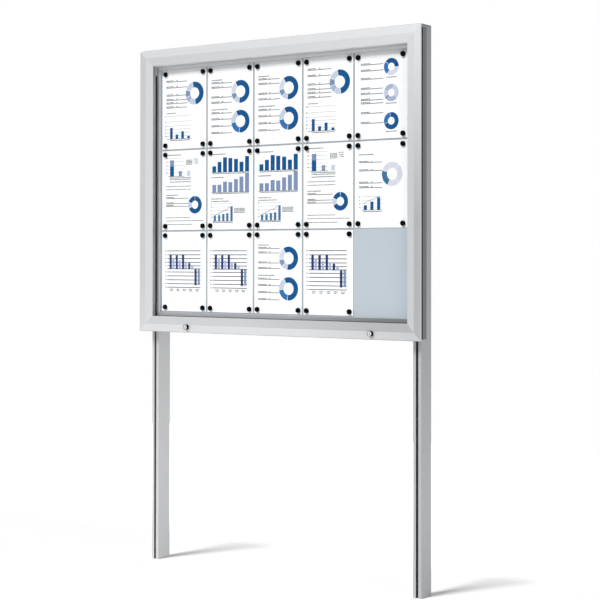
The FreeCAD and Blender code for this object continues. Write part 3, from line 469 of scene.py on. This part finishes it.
finishes = {
    # painted light and shade: the rails are lit and shaded copies of one aluminium, with the bevels and
    # reveal walls painted as lit and shaded facets, the drifts painted ramps of light, and the top rail's
    # underside painted light
    "railTop": satinAluminium(
        "railTop", "x", (0.68, 0.69, 0.70), drift=("X", -0.6, 0.6, 0.94, 1.07),
        zones=[
            (bevel, (0.635, 0.645, 0.66), ("X", -0.5, 0.5, 0.97, 1.12)),
            (innerLevel, (0.86, 0.87, 0.89), None),
        ],
    ),
    "railBottom": satinAluminium(
        "railBottom", "x", (0.65, 0.66, 0.67), drift=("X", 0.1, 0.6, 1.0, 0.80),
        zones=[
            (bevel, (0.53, 0.54, 0.55), ("X", -0.15, 0.5, 1.0, 0.74)),
            (innerLevel, (0.40, 0.405, 0.415), ("X", 0.0, 0.5, 1.0, 0.6)),
        ],
    ),
    "railLeft": satinAluminium(
        "railLeft", "z", (0.535, 0.545, 0.56), drift=("Z", 0.85, 1.1, 1.10, 1.0),
        zones=[(bevel, (0.615, 0.625, 0.64), None), (innerSide, (0.35, 0.355, 0.365), None)],
    ),
    "railRight": satinAluminium(
        "railRight", "z", (0.40, 0.41, 0.42), drift=("Z", 1.25, 1.85, 1.0, 1.72),
        zones=[
            (bevel, (0.545, 0.555, 0.57), ("Z", 1.4, 1.8, 1.0, 1.18)),
            (innerSide, (0.35, 0.355, 0.365), None),
        ],
    ),
    # painted light and shade: the top lip is painted lighter, the bottom lip darker and darker to the right,
    # and the outer sides of the uprights dark grey as shade beside the door
    "caseTop": satinAluminium(
        "caseTop", "x", (0.55, 0.56, 0.57), zones=[(caseLip, (0.76, 0.77, 0.79), None)]
    ),
    "caseBottom": satinAluminium(
        "caseBottom", "x", (0.55, 0.56, 0.57),
        zones=[(caseLip, (0.43, 0.44, 0.46), ("X", 0.05, 0.45, 1.0, 0.55))],
    ),
    "caseUpright": satinAluminium(
        "caseUpright", "z", (0.60, 0.61, 0.63), zones=[(caseOutside, (0.155, 0.16, 0.17), None)]
    ),
    # painted light and shade: the right post is a shaded copy of the left, both are painted darker towards
    # the top, the slot's inside is painted dark as shade, and the right post's front face is painted
    # slightly darker than its sides
    "postLeft": satinAluminium(
        "postLeft", "z", (0.60, 0.61, 0.62), drift=("Z", 0.4, 1.89, 1.0, 0.65),
        zones=[(slotRoom, (0.26, 0.265, 0.27), None)],
    ),
    "postRight": satinAluminium(
        "postRight", "z", (0.475, 0.485, 0.495), drift=("Z", 0.0, 1.89, 0.94, 0.68),
        zones=[(slotRoom, (0.085, 0.087, 0.09), None), (postFace, (0.45, 0.455, 0.465), None)],
    ),
    "hingeMetal": satinAluminium("hingeMetal", "x", (0.55, 0.56, 0.57)),
    "panelCoat": coatedSheet(
        "panelCoat", (0.46, 0.52, 0.57), spread=0.05, low=0.35, high=0.5, size=900.0, bump=0.2
    ),
    "paperWhite": coatedSheet(
        "paperWhite", (0.93, 0.94, 0.955), spread=0.03, low=0.5, high=0.7, size=1200.0, bump=0.3, gloss=0.2
    ),
    "rubberBlack": mouldedBlack(
        "rubberBlack", (0.025, 0.025, 0.027), low=0.6, high=0.8, bump=0.4, gloss=0.2
    ),
    # painted light: the gasket is near-black, and its run along the top is painted pale grey where it shows
    # under the top rail
    "gasketPaintedLightTop": mouldedBlack(
        "gasketPaintedLightTop", (0.04, 0.041, 0.043), low=0.6, high=0.8, bump=0.4, gloss=0.2,
        zones=[(gasketTop, (0.85, 0.86, 0.87))],
    ),
    "plasticBlack": mouldedBlack("plasticBlack", (0.035, 0.035, 0.038), low=0.4, high=0.55),
    "paintBlack": mouldedBlack(
        "paintBlack", (0.02, 0.02, 0.022), low=0.25, high=0.4, bump=0.15, size=1100.0, metallic=0.2, coat=0.3
    ),
    # partly painted dark reflection: the housings are black, made darker and matt so that their sides show
    # the dark crescent of a chrome head's reflection
    "lockBlack": mouldedBlack(
        "lockBlack", (0.004, 0.004, 0.005), low=0.35, high=0.5, bump=0.1, size=1100.0, gloss=0.0, wear=0.0
    ),
    "magnetBlack": mouldedBlack(
        "magnetBlack", (0.003, 0.003, 0.0035), low=0.4, high=0.55, bump=0.1, size=900.0, gloss=0.0, wear=0.0
    ),
    # painted shade: the plug's keyway is painted black inside
    "plugMetal": platedMetal(
        "plugMetal", (0.80, 0.81, 0.83), low=0.35, high=0.5, zones=[(keywayRoom, (0.01, 0.01, 0.01))]
    ),
    "chromePlate": platedMetal("chromePlate", (0.85, 0.86, 0.88), low=0.08, high=0.2, spread=0.06),
    "zincPlate": platedMetal("zincPlate", (0.60, 0.62, 0.64), low=0.28, high=0.45),
    "clearGlass": clearPane("clearGlass", pane),
}

nodeFinish = {
    "railTop": ["door_top_rail"],
    "railBottom": ["door_bottom_rail"],
    "railLeft": ["door_left_rail"],
    "railRight": ["door_right_rail"],
    "caseTop": ["case_top_profile"],
    "caseBottom": ["case_bottom_profile"],
    "caseUpright": ["case_left_profile", "case_right_profile"],
    "postLeft": ["post_left"],
    "postRight": ["post_right"],
    "hingeMetal": ["hinge_leaf_case", "hinge_leaf_door", "case_corner_keys", "door_corner_keys"],
    "panelCoat": ["back_panel"],
    "paperWhite": ["paper_sheets"],
    "rubberBlack": ["lip_seal", "edge_seal"],
    "gasketPaintedLightTop": ["glazing_gasket"],
    "plasticBlack": [
        "post_caps", "strut_eye_lower_left", "strut_eye_lower_right", "strut_eye_upper_left",
        "strut_eye_upper_right",
    ],
    "paintBlack": ["strut_tube_left", "strut_tube_right"],
    "lockBlack": ["lock_housings"],
    "magnetBlack": ["magnets"],
    "plugMetal": ["lock_plug_left", "lock_plug_right"],
    "chromePlate": ["strut_rod_left", "strut_rod_right"],
    "zincPlate": [
        "post_bolts", "slot_nuts", "hinge_pin", "lock_keepers", "lock_nuts", "lock_cam_left",
        "lock_cam_right", "strut_brackets_case", "strut_brackets_door",
    ],
    "clearGlass": ["glazing"],
}

for finish, names in nodeFinish.items():
    for name in names:
        for slot in nodes[name].material_slots:
            slot.material = finishes[finish]
print("finishes given to the CAD nodes")


# mesh helpers

def addLathe(shape, centre, axis, profile, steps, flats=()):
    # profile is a list of (radius, distance along the axis), from the axis and back to it;
    # flats are the numbers of the rings that are six-sided instead of round
    axis = Vector(axis).normalized()
    side = axis.orthogonal().normalized()
    other = axis.cross(side)
    rings = []
    for number, (radius, along) in enumerate(profile):
        middle = Vector(centre) + axis * along
        if radius == 0:
            rings.append([shape.verts.new(middle)])
            continue
        ring = []
        for step in range(steps):
            turn = 2 * math.pi * step / steps
            reach = radius
            if number in flats:
                reach *= math.cos(math.pi / 6) / math.cos(turn % (math.pi / 3) - math.pi / 6)
            ring.append(shape.verts.new(middle + reach * (math.cos(turn) * side + math.sin(turn) * other)))
        rings.append(ring)
    for first, second in zip(rings, rings[1:]):
        for step in range(steps):
            following = (step + 1) % steps
            corners = [first[step % len(first)], first[following % len(first)]]
            corners += [second[following % len(second)], second[step % len(second)]]
            unique = list(dict.fromkeys(corners))
            if len(unique) > 2:
                shape.faces.new(unique)


def keepMesh(name, shape, body, materials, sharp=None):
    # edges that turn by more than sharp degrees stay sharp; without it every face is flat
    bmesh.ops.recalc_face_normals(shape, faces=shape.faces)
    if sharp is not None:
        for face in shape.faces:
            face.smooth = True
        for edge in shape.edges:
            if len(edge.link_faces) == 2 and edge.calc_face_angle(0) > math.radians(sharp):
                edge.smooth = False
    mesh = bpy.data.meshes.new(name)
    shape.to_mesh(mesh)
    shape.free()
    for material in materials:
        mesh.materials.append(material)
    piece = bpy.data.objects.new(name, mesh)
    bpy.context.scene.collection.objects.link(piece)
    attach(piece, body)
    return piece


# displayed sheets: places come from the CAD node

sheetGrid = {
    "columns": 5,
    "rows": 3,
    "empty": (2, 4),  # row and column, counted from 0 at the upper left
    "width": 210,
    "height": 297,
    "columnGap": 3.3,
    "rowGap": 2.5,
}
paperLow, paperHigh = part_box("paper_sheets")
paperFront = paperLow.y


def sheetCorner(row, column):
    # left edge and top edge of the sheet
    left = paperLow.x + column * (sheetGrid["width"] + sheetGrid["columnGap"]) * mm
    top = paperHigh.z - row * (sheetGrid["height"] + sheetGrid["rowGap"]) * mm
    return left, top


sheetPlaces = [(row, column) for row in range(sheetGrid["rows"]) for column in range(sheetGrid["columns"])]
sheetPlaces.remove(sheetGrid["empty"])


# magnets

magnetShape = {
    "radius": 8.7,
    "height": 6.5,
    "inset": 16,  # sheet's edges to the magnet's centre
    "steps": 40,
    "foot": 0.3,  # chamfer on the sheet's side
    "rim": 0.9,  # rounding of the front edge, and what its middle step keeps of it
    "rimShare": 0.29,
    "dish": 0.35,
    "dishLip": 0.12,
    "dishLipWidth": 0.4,
    "dishRadius": 5.2,
    "dishFloor": 0.6,  # share of the dish that is flat
    "sharp": 35,
}


def makeMagnets(setup):
    shape = bmesh.new()
    radius, height, rim, foot = (setup[key] for key in ("radius", "height", "rim", "foot"))
    bent = setup["rimShare"] * rim
    profile = [
        (0, 0),
        (radius - foot, 0),
        (radius, foot),
        (radius, height - rim),
        (radius - bent, height - bent),
        (radius - rim, height),
        (setup["dishRadius"] + setup["dishLipWidth"], height),
        (setup["dishRadius"], height - setup["dishLip"]),
        (setup["dishRadius"] * setup["dishFloor"], height - setup["dish"]),
        (0, height - setup["dish"]),
    ]
    profile = [(across * mm, along * mm) for across, along in profile]
    for row, column in sheetPlaces:
        left, top = sheetCorner(row, column)
        for across in (setup["inset"], sheetGrid["width"] - setup["inset"]):
            for down in (setup["inset"], sheetGrid["height"] - setup["inset"]):
                centre = (left + across * mm, paperFront, top - down * mm)
                addLathe(shape, centre, (0, -1, 0), profile, setup["steps"])
    piece = keepMesh("magnetDiscs", shape, "case", [finishes["magnetBlack"]], setup["sharp"])
    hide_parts("magnets")


makeMagnets(magnetShape)
print("magnets made")


# screws that hold the hinge, the strut brackets and the lock cams

screwForm = {
    # shares of the head's radius
    "shoulder": 0.88,
    "top": 0.7,
    "socket": 0.55,
    # shares of the head's height
    "side": 0.55,
    "shoulderRise": 0.88,
    "floor": 0.35,
    "steps": 24,
    "sharp": 35,
}
screwSets = {
    "hingeScrews": {
        "body": "case", "axis": (0, 0, 1), "radius": 3.0, "height": 1.5,
        "places": [(x * side, -15, 1889) for x in (80, 240, 400, 560) for side in (-1, 1)],
    },
    "caseBracketScrews": {
        "body": "case", "axis": (0, -1, 0), "radius": 2.3, "height": 1.4,
        "places": [(x, -9.25, z) for x in (-565, 565) for z in (1555.5, 1567.5)],
    },
    "doorBracketScrews": {
        "body": "door", "axis": (0, 1, 0), "radius": 2.3, "height": 1.4,
        "places": [(x, -27.75, z) for x in (-567.5, 567.5) for z in (1785.5, 1797.5)],
    },
    "camScrewLeft": {
        "body": "lock_left", "axis": (0, 1, 0), "radius": 4.2, "height": 2.0,
        "places": [(-379, -22.25, 871)],
    },
    "camScrewRight": {
        "body": "lock_right", "axis": (0, 1, 0), "radius": 4.2, "height": 2.0,
        "places": [(415, -22.25, 871)],
    },
}


def makeScrews(name, form, body, axis, radius, height, places):
    shape = bmesh.new()
    socket = radius * form["socket"]
    floor = height * form["floor"]
    profile = [
        (0, 0),
        (radius, 0),
        (radius, height * form["side"]),
        (radius * form["shoulder"], height * form["shoulderRise"]),
        (radius * form["top"], height),
        (socket, height),
        (socket, floor),
        (0, floor),
    ]
    flats = [number for number, (across, along) in enumerate(profile) if across == socket]
    profile = [(across * mm, along * mm) for across, along in profile]
    for place in places:
        addLathe(shape, [part * mm for part in place], axis, profile, form["steps"], flats)
    keepMesh(name, shape, body, [finishes["zincPlate"]], form["sharp"])


for name, details in screwSets.items():
    makeScrews(name, screwForm, **details)
print("screws made")


# printed charts

# colour, and height above the sheet, so that one ink lies over another
inks = {
    "dark": ((0.004, 0.078, 0.24), 0.075),
    "mid": ((0.19, 0.265, 0.42), 0.065),
    "pale": ((0.52, 0.57, 0.70), 0.055),
    "lilac": ((0.36, 0.42, 0.60), 0.055),
    "ghost": ((0.63, 0.65, 0.73), 0.055),
    "teal": ((0.045, 0.155, 0.30), 0.07),
    "azure": ((0.03, 0.15, 0.40), 0.07),
    "indigo": ((0.02, 0.032, 0.13), 0.08),
    "grey": ((0.05, 0.052, 0.055), 0.035),
    "faint": ((0.40, 0.41, 0.42), 0.03),
    "black": ((0.02, 0.02, 0.022), 0.045),
}
inkSurface = {"spread": 0.12, "low": 0.4, "high": 0.6, "size": 1500.0, "bump": 0.2, "gloss": 0.15}
inkOrder = list(inks)
inkMaterials = [coatedSheet("ink" + name.title(), inks[name][0], **inkSurface) for name in inkOrder]

printForm = {
    # shares of the sheet's width
    "dash": (0.012, 0.035),
    "dashGap": 0.008,
    "dashRest": 0.005,
    # millimetres
    "dashTall": 3.1,
    "line": 2.3,
    "baseLine": 1.8,
    "faintLine": 1.3,
    # degrees
    "ringGap": 1.5,
    "ringStep": 5,
}


class SheetPrint:
    # collects the shapes of one sheet; x and y are shares of its width and height from its upper left,
    # line widths, print heights and radii are in millimetres
    def __init__(self, left, top):
        self.left, self.top = left, top
        self.shape = bmesh.new()
        # the sheet's place gives the seed, so that no two sheets have the same print
        self.random = random.Random(round(left * 1000) * 31 + round(top * 1000))

    def point(self, x, y):
        return self.left + x * sheetGrid["width"] * mm, self.top - y * sheetGrid["height"] * mm

    def prism(self, points, ink):
        front = paperFront - inks[ink][1] * mm
        near = [self.shape.verts.new((x, front, z)) for x, z in points]
        far = [self.shape.verts.new((x, paperFront, z)) for x, z in points]
        faces = [near, far[::-1]]
        for step in range(len(points)):
            following = (step + 1) % len(points)
            faces.append((near[following], near[step], far[step], far[following]))
        for corners in faces:
            self.shape.faces.new(corners).material_index = inkOrder.index(ink)

    def box(self, x0, y0, x1, y1, ink):
        low, high = self.point(x0, y1), self.point(x1, y0)
        self.prism([(low[0], low[1]), (high[0], low[1]), (high[0], high[1]), (low[0], high[1])], ink)

    def line(self, x0, y0, x1, y1, thick=printForm["line"], ink="grey"):
        start, end = Vector(self.point(x0, y0)), Vector(self.point(x1, y1))
        along = (end - start).normalized() * thick * mm / 2
        side = Vector((-along.y, along.x))
        self.prism([tuple(start - side), tuple(end - side), tuple(end + side), tuple(start + side)], ink)

    def curve(self, corners, ink):
        for start, end in zip(corners, corners[1:]):
            self.line(*start, *end, printForm["baseLine"], ink)

    def words(self, x0, x1, y, tall=printForm["dashTall"]):
        # a row of short dashes of uneven length stands for small print
        place = x0
        while place < x1 - printForm["dashRest"]:
            length = min(self.random.uniform(*printForm["dash"]), x1 - place)
            half = tall / sheetGrid["height"] / 2
            self.box(place, y - half, place + length, y + half, "black")
            place += length + printForm["dashGap"]

    def rows(self, x0, x1, levels, tall=printForm["dashTall"]):
        for y in levels:
            self.words(x0, x1, y, tall)

    def captions(self, centres, rows):
        # rows of print under each centre, given as (half of the width, y)
        for x in centres:
            for half, y in rows:
                self.words(x - half, x + half, y)

    def leaders(self, levels, end, spans, lift=0.013):
        # thin lines that point at a ring, with spans of print above each
        for y in levels:
            for start, stop in spans:
                self.words(start, stop, y - lift)
            self.line(spans[0][0], y, end, y)

    def grid(
        self, x0, x1, levels, labels, base,
        thick=printForm["faintLine"], ink="faint", baseThick=printForm["baseLine"],
    ):
        # level lines, each with a short label before it, and a base line
        for y in levels:
            self.line(x0, y, x1, y, thick, ink)
            self.words(*labels, y)
        self.line(x0, base, x1, base, baseThick)

    def bars(self, centres, tops, base, width, ink):
        # a top below the base makes a bar that hangs down
        for x, top in zip(centres, tops):
            self.box(x - width / 2, min(top, base), x + width / 2, max(top, base), ink)

    def legend(self, x0, x1, half, labels, entries):
        # small boxes of ink, each with a label after it
        for y, ink in entries:
            self.box(x0, y - half, x1, y + half, ink)
            self.words(*labels, y)

    def ring(self, centre, outer, inner, start, end, ink):
        # angles in degrees, clockwise from twelve o'clock
        steps = max(2, math.ceil((end - start) / printForm["ringStep"]))
        turns = [math.radians(start + (end - start) * step / steps) for step in range(steps + 1)]
        for first, second in zip(turns, turns[1:]):
            corners = []
            for turn, radius in ((second, inner), (second, outer), (first, outer), (first, inner)):
                across, up = radius * mm * math.sin(turn), radius * mm * math.cos(turn)
                corners.append((centre.x + across, centre.y + up))
            self.prism(corners, ink)

    def donut(self, x, y, outer, inner, parts):
        centre, gap = Vector(self.point(x, y)), printForm["ringGap"]
        for start, end, ink in parts:
            self.ring(centre, outer, inner, start + gap, end - gap, ink)

    def edges(self, row, column, width, ink):
        # painted shade: a dark border below, and wherever another sheet lies beside or above, standing in
        # for the shadow in the gaps between sheets
        across, down = width / sheetGrid["width"], width / sheetGrid["height"]
        if column > 0:
            self.box(0, down, across, 1 - down, ink)
        if column < sheetGrid["columns"] - 1:
            self.box(1 - across, down, 1, 1 - down, ink)
        if row > 0:
            self.box(0, 0, 1, down, ink)
        self.box(0, 1 - down, 1, 1, ink)


# each chart is a list of what is drawn, in order
words, rows, captions, leaders = SheetPrint.words, SheetPrint.rows, SheetPrint.captions, SheetPrint.leaders
line, curve, grid, bars = SheetPrint.line, SheetPrint.curve, SheetPrint.grid, SheetPrint.bars
legend, donut = SheetPrint.legend, SheetPrint.donut

summary = [
    (leaders, dict(levels=(0.152, 0.226, 0.326, 0.382, 0.425, 0.476), end=0.56,
                   spans=((0.09, 0.25), (0.32, 0.345)), lift=0.014)),
    (donut, dict(x=0.73, y=0.312, outer=42, inner=21, parts=[
        (-15, 175, "dark"), (175, 215, "pale"), (215, 250, "lilac"), (250, 290, "mid"), (290, 345, "pale"),
    ])),
    (words, dict(x0=0.09, x1=0.30, y=0.545, tall=3.0)),
    (grid, dict(x0=0.10, x1=0.66, levels=(0.58, 0.65, 0.705, 0.745, 0.79, 0.83),
                labels=(0.06, 0.09), base=0.867)),
    (bars, dict(centres=(0.204, 0.33, 0.46, 0.595), tops=(0.725, 0.812, 0.775, 0.837),
                base=0.865, width=0.06, ink="dark")),
    (words, dict(x0=0.17, x1=0.63, y=0.885)),
]

pairRing = {"x": 0.722, "outer": 41, "inner": 21.5}
pairLeader = {
    "end": pairRing["x"] - 0.95 * pairRing["outer"] / sheetGrid["width"],  # just inside the ring's edge
    "spans": ((0.09, 0.27), (0.315, 0.345)),
}
pairs = [
    (words, dict(x0=0.09, x1=0.32, y=0.177, tall=3.4)),
    (leaders, dict(levels=(0.217, 0.272, 0.391, 0.457), **pairLeader)),
    (donut, dict(y=0.334, **pairRing, parts=[
        (-35, 190, "dark"), (190, 225, "pale"), (225, 262, "mid"), (262, 325, "ghost"),
    ])),
    (words, dict(x0=0.09, x1=0.44, y=0.538, tall=3.4)),
    (leaders, dict(levels=(0.585, 0.66, 0.745, 0.828), **pairLeader)),
    (donut, dict(y=0.695, **pairRing, parts=[
        (-30, 188, "dark"), (188, 265, "azure"), (265, 330, "pale"),
    ])),
]

tripleRing = {"x": 0.70, "outer": 29, "inner": 13}
tripleLeader = {"end": 0.55, "spans": ((0.125, 0.30),)}
triple = [
    (leaders, dict(levels=(0.146, 0.216, 0.311), **tripleLeader)),
    (donut, dict(y=0.186, **tripleRing, parts=[(-50, 95, "dark"), (95, 215, "ghost"), (215, 310, "azure")])),
    (words, dict(x0=0.60, x1=0.80, y=0.304)),
    (leaders, dict(levels=(0.422, 0.48, 0.55, 0.588), **tripleLeader)),
    (donut, dict(y=0.48, **tripleRing, parts=[
        (-70, 20, "lilac"), (20, 130, "pale"), (130, 225, "lilac"), (225, 240, "indigo"), (240, 290, "pale"),
    ])),
    (words, dict(x0=0.60, x1=0.80, y=0.598)),
    (leaders, dict(levels=(0.701, 0.813), **tripleLeader)),
    (donut, dict(y=0.798, **tripleRing, parts=[(-10, 250, "dark"), (250, 350, "azure")])),
    (words, dict(x0=0.60, x1=0.80, y=0.916)),
]

stacked = [
    (words, dict(x0=0.09, x1=0.42, y=0.06, tall=3.2)),
    (grid, dict(x0=0.13, x1=0.50, levels=(0.10, 0.145, 0.19, 0.235, 0.28),
                labels=(0.09, 0.12), base=0.327)),
    (bars, dict(centres=(0.22,), tops=(0.20,), base=0.326, width=0.09, ink="dark")),
    (bars, dict(centres=(0.22,), tops=(0.123,), base=0.20, width=0.09, ink="mid")),
    (bars, dict(centres=(0.41,), tops=(0.26,), base=0.326, width=0.07, ink="mid")),
    (bars, dict(centres=(0.60,), tops=(0.26,), base=0.326, width=0.07, ink="pale")),
    (rows, dict(x0=0.54, x1=0.68, levels=(0.13, 0.147, 0.163, 0.18))),
    (legend, dict(x0=0.71, x1=0.73, half=0.006, labels=(0.745, 0.81),
                  entries=((0.12, "dark"), (0.145, "mid"), (0.17, "pale")))),
    (rows, dict(x0=0.17, x1=0.65, levels=(0.345, 0.365, 0.395))),
    (rows, dict(x0=0.09, x1=0.65, levels=(0.45, 0.49), tall=2.6)),
    (words, dict(x0=0.09, x1=0.36, y=0.56, tall=3.2)),
    (leaders, dict(levels=(0.60, 0.667, 0.70), end=0.59, spans=((0.09, 0.26),))),
    (donut, dict(x=0.742, y=0.684, outer=32, inner=15, parts=[
        (0, 245, "dark"), (245, 290, "pale"), (290, 360, "dark"),
    ])),
    (words, dict(x0=0.09, x1=0.64, y=0.84, tall=2.6)),
    (words, dict(x0=0.09, x1=0.92, y=0.88, tall=2.6)),
    (words, dict(x0=0.09, x1=0.68, y=0.925, tall=2.6)),
]

columnCentres = (0.155, 0.27, 0.39, 0.506, 0.628, 0.746, 0.866)
columns = [
    (words, dict(x0=0.09, x1=0.40, y=0.075, tall=3.2)),
    (bars, dict(centres=columnCentres, tops=(0.22, 0.168, 0.115, 0.126, 0.14, 0.178, 0.112),
                base=0.295, width=0.085, ink="dark")),
    (line, dict(x0=0.09, y0=0.297, x1=0.92, y1=0.297, thick=printForm["baseLine"])),
    (words, dict(x0=0.12, x1=0.90, y=0.312)),
    (words, dict(x0=0.09, x1=0.36, y=0.36, tall=3.2)),
    (bars, dict(centres=columnCentres, tops=(0.447, 0.447, 0.412, 0.42, 0.385, 0.357, 0.317),
                base=0.54, width=0.085, ink="mid")),
    (line, dict(x0=0.09, y0=0.542, x1=0.92, y1=0.542, thick=printForm["baseLine"])),
    (words, dict(x0=0.12, x1=0.90, y=0.556)),
    (words, dict(x0=0.09, x1=0.36, y=0.62, tall=3.2)),
    (words, dict(x0=0.09, x1=0.48, y=0.65)),
    (grid, dict(x0=0.12, x1=0.56, levels=(0.68, 0.72, 0.765, 0.81, 0.846),
                labels=(0.085, 0.11), base=0.892)),
    (bars, dict(centres=(0.17, 0.264, 0.355, 0.442, 0.534), tops=(0.825, 0.818, 0.804, 0.797, 0.713),
                base=0.89, width=0.05, ink="teal")),
    (curve, dict(corners=((0.134, 0.832), (0.25, 0.80), (0.36, 0.765), (0.43, 0.755), (0.487, 0.72)),
                 ink="dark")),
    (rows, dict(x0=0.59, x1=0.82, levels=(0.74, 0.757, 0.773, 0.79))),
    (words, dict(x0=0.13, x1=0.56, y=0.907)),
]

overview = [
    (words, dict(x0=0.09, x1=0.36, y=0.16, tall=3.2)),
    (leaders, dict(levels=(0.25, 0.345, 0.486, 0.538), end=0.53, spans=((0.09, 0.27), (0.32, 0.345)))),
    (donut, dict(x=0.716, y=0.39, outer=40.5, inner=20, parts=[
        (-70, 40, "ghost"), (40, 140, "ghost"), (140, 205, "ghost"), (205, 290, "teal"),
    ])),
    (bars, dict(centres=(0.21, 0.336, 0.464), tops=(0.736, 0.696, 0.65),
                base=0.79, width=0.06, ink="dark")),
    (grid, dict(x0=0.14, x1=0.53, levels=(0.64, 0.68, 0.72, 0.76), labels=(0.09, 0.12), base=0.792)),
    (curve, dict(corners=((0.17, 0.715), (0.336, 0.675), (0.49, 0.635)), ink="mid")),
    (words, dict(x0=0.17, x1=0.52, y=0.81)),
]

balance = [
    (grid, dict(x0=0.12, x1=0.87,
                levels=(0.245, 0.294, 0.34, 0.387, 0.43, 0.508, 0.556, 0.605, 0.653, 0.698),
                labels=(0.07, 0.105), base=0.468, thick=2.8, ink="grey", baseThick=3.0)),
    (bars, dict(centres=(0.194, 0.334, 0.477, 0.617), tops=(0.290, 0.300, 0.290, 0.395),
                base=0.468, width=0.05, ink="indigo")),
    (bars, dict(centres=(0.257, 0.40, 0.54, 0.686), tops=(0.334, 0.363, 0.379, 0.42),
                base=0.468, width=0.05, ink="lilac")),
    (bars, dict(centres=(0.76,), tops=(0.67,), base=0.474, width=0.05, ink="indigo")),
    (bars, dict(centres=(0.83,), tops=(0.665,), base=0.474, width=0.05, ink="mid")),
    (captions, dict(centres=(0.22, 0.366, 0.51, 0.65, 0.794), rows=((0.04, 0.722), (0.03, 0.74)))),
]

layouts = [
    [summary, pairs, pairs, summary, triple],
    [stacked, columns, columns, stacked, overview],
    [balance, balance, pairs, balance],
]
# painted shade: a dark border on each sheet stands in for the shadow in the gaps between sheets
gapShadeBorder = {"width": 1.4, "ink": "grey"}

for row, charts in enumerate(layouts):
    for column, chart in enumerate(charts):
        page = SheetPrint(*sheetCorner(row, column))
        for draw, details in chart:
            draw(page, **details)
        page.edges(row, column, **gapShadeBorder)
        keepMesh(f"sheetPrint_{row + 1}_{column + 1}", page.shape, "case", inkMaterials)
print("printed charts made")


# floor, light and air

studio = {
    "floorCorners": ((-3.6, -3.6), (3.6, 3.6)),
    "floorColour": (0.95, 0.95, 0.95),
    "floorMottle": {"Size": 40.0, "Strength": 0.01},
    "floorRough": 0.9,
    # painted light: the floor's glow grows towards the back, so that the shadows on it fade into white
    "floorGlow": (0.40, 0.94, 0.09, 1.0),  # from y, to y, glow before, glow behind: it fades into white
    "air": 0.20,
    # turn: degrees from straight before the board towards the reader's left; rise: degrees above
    # the ground; width: degrees across, so that shadows fade
    "lamps": {
        "keyLamp": {"turn": 16, "rise": 44, "power": 3.0, "width": 19},
        "fillLamp": {"turn": -60, "rise": 6, "power": 0.8, "width": 40},
        "rearLamp": {"turn": 180, "rise": 4, "power": 1.5, "width": 40},
    },
}


def seenDirectly(tree):
    path = tree.nodes.new("ShaderNodeLightPath")
    seen = path.outputs["Is Camera Ray"]
    for label in ("Is Glossy Ray", "Is Transmission Ray"):
        seen = addMath(tree, "MAXIMUM", seen, path.outputs[label])
    return seen


def makeFloor(setup):
    material, tree, shader = startMaterial("studioFloor")
    shader.inputs["Roughness"].default_value = setup["floorRough"]
    shader.inputs["Specular IOR Level"].default_value = 0.0
    shade = placeGroup(tree, mottle, **setup["floorMottle"]).outputs["Shade"]
    tree.links.new(shadeColour(tree, setup["floorColour"], shade), shader.inputs["Base Color"])
    shader.inputs["Emission Color"].default_value = (1, 1, 1, 1)
    # painted light: glow seen directly, rising towards the back
    ramp = addRange(tree, objectAxes(tree)["Y"], *setup["floorGlow"])
    tree.links.new(addMath(tree, "MULTIPLY", seenDirectly(tree), ramp), shader.inputs["Emission Strength"])
    (left, front), (right, rear) = setup["floorCorners"]
    corners = [(left, front, 0), (right, front, 0), (right, rear, 0), (left, rear, 0)]
    mesh = bpy.data.meshes.new("studioFloor")
    mesh.from_pydata(corners, [], [(0, 1, 2, 3)])
    mesh.materials.append(material)
    floor = bpy.data.objects.new("studioFloor", mesh)
    bpy.context.scene.collection.objects.link(floor)


def makeAir(setup):
    # the air looks white, and lights the object less
    air = bpy.data.worlds.new("studioAir")
    air.use_nodes = True
    bpy.context.scene.world = air
    tree = air.node_tree
    background = next(node for node in tree.nodes if node.type == "BACKGROUND")
    background.inputs["Color"].default_value = (1, 1, 1, 1)
    level = addRange(tree, seenDirectly(tree), 0.0, 1.0, setup["air"], 1.0)
    tree.links.new(level, background.inputs["Strength"])


def makeLamp(name, turn, rise, power, width):
    lamp = bpy.data.lights.new(name, "SUN")
    lamp.angle = math.radians(width)
    lamp.energy = power
    turn, rise = math.radians(turn), math.radians(rise)
    travel = Vector((math.sin(turn) * math.cos(rise), math.cos(turn) * math.cos(rise), -math.sin(rise)))
    source = bpy.data.objects.new(name, lamp)
    source.rotation_euler = travel.to_track_quat("-Z", "Y").to_euler()
    source.visible_glossy = False
    bpy.context.scene.collection.objects.link(source)


makeFloor(studio)
makeAir(studio)
for name, details in studio["lamps"].items():
    makeLamp(name, **details)
print("studio set")
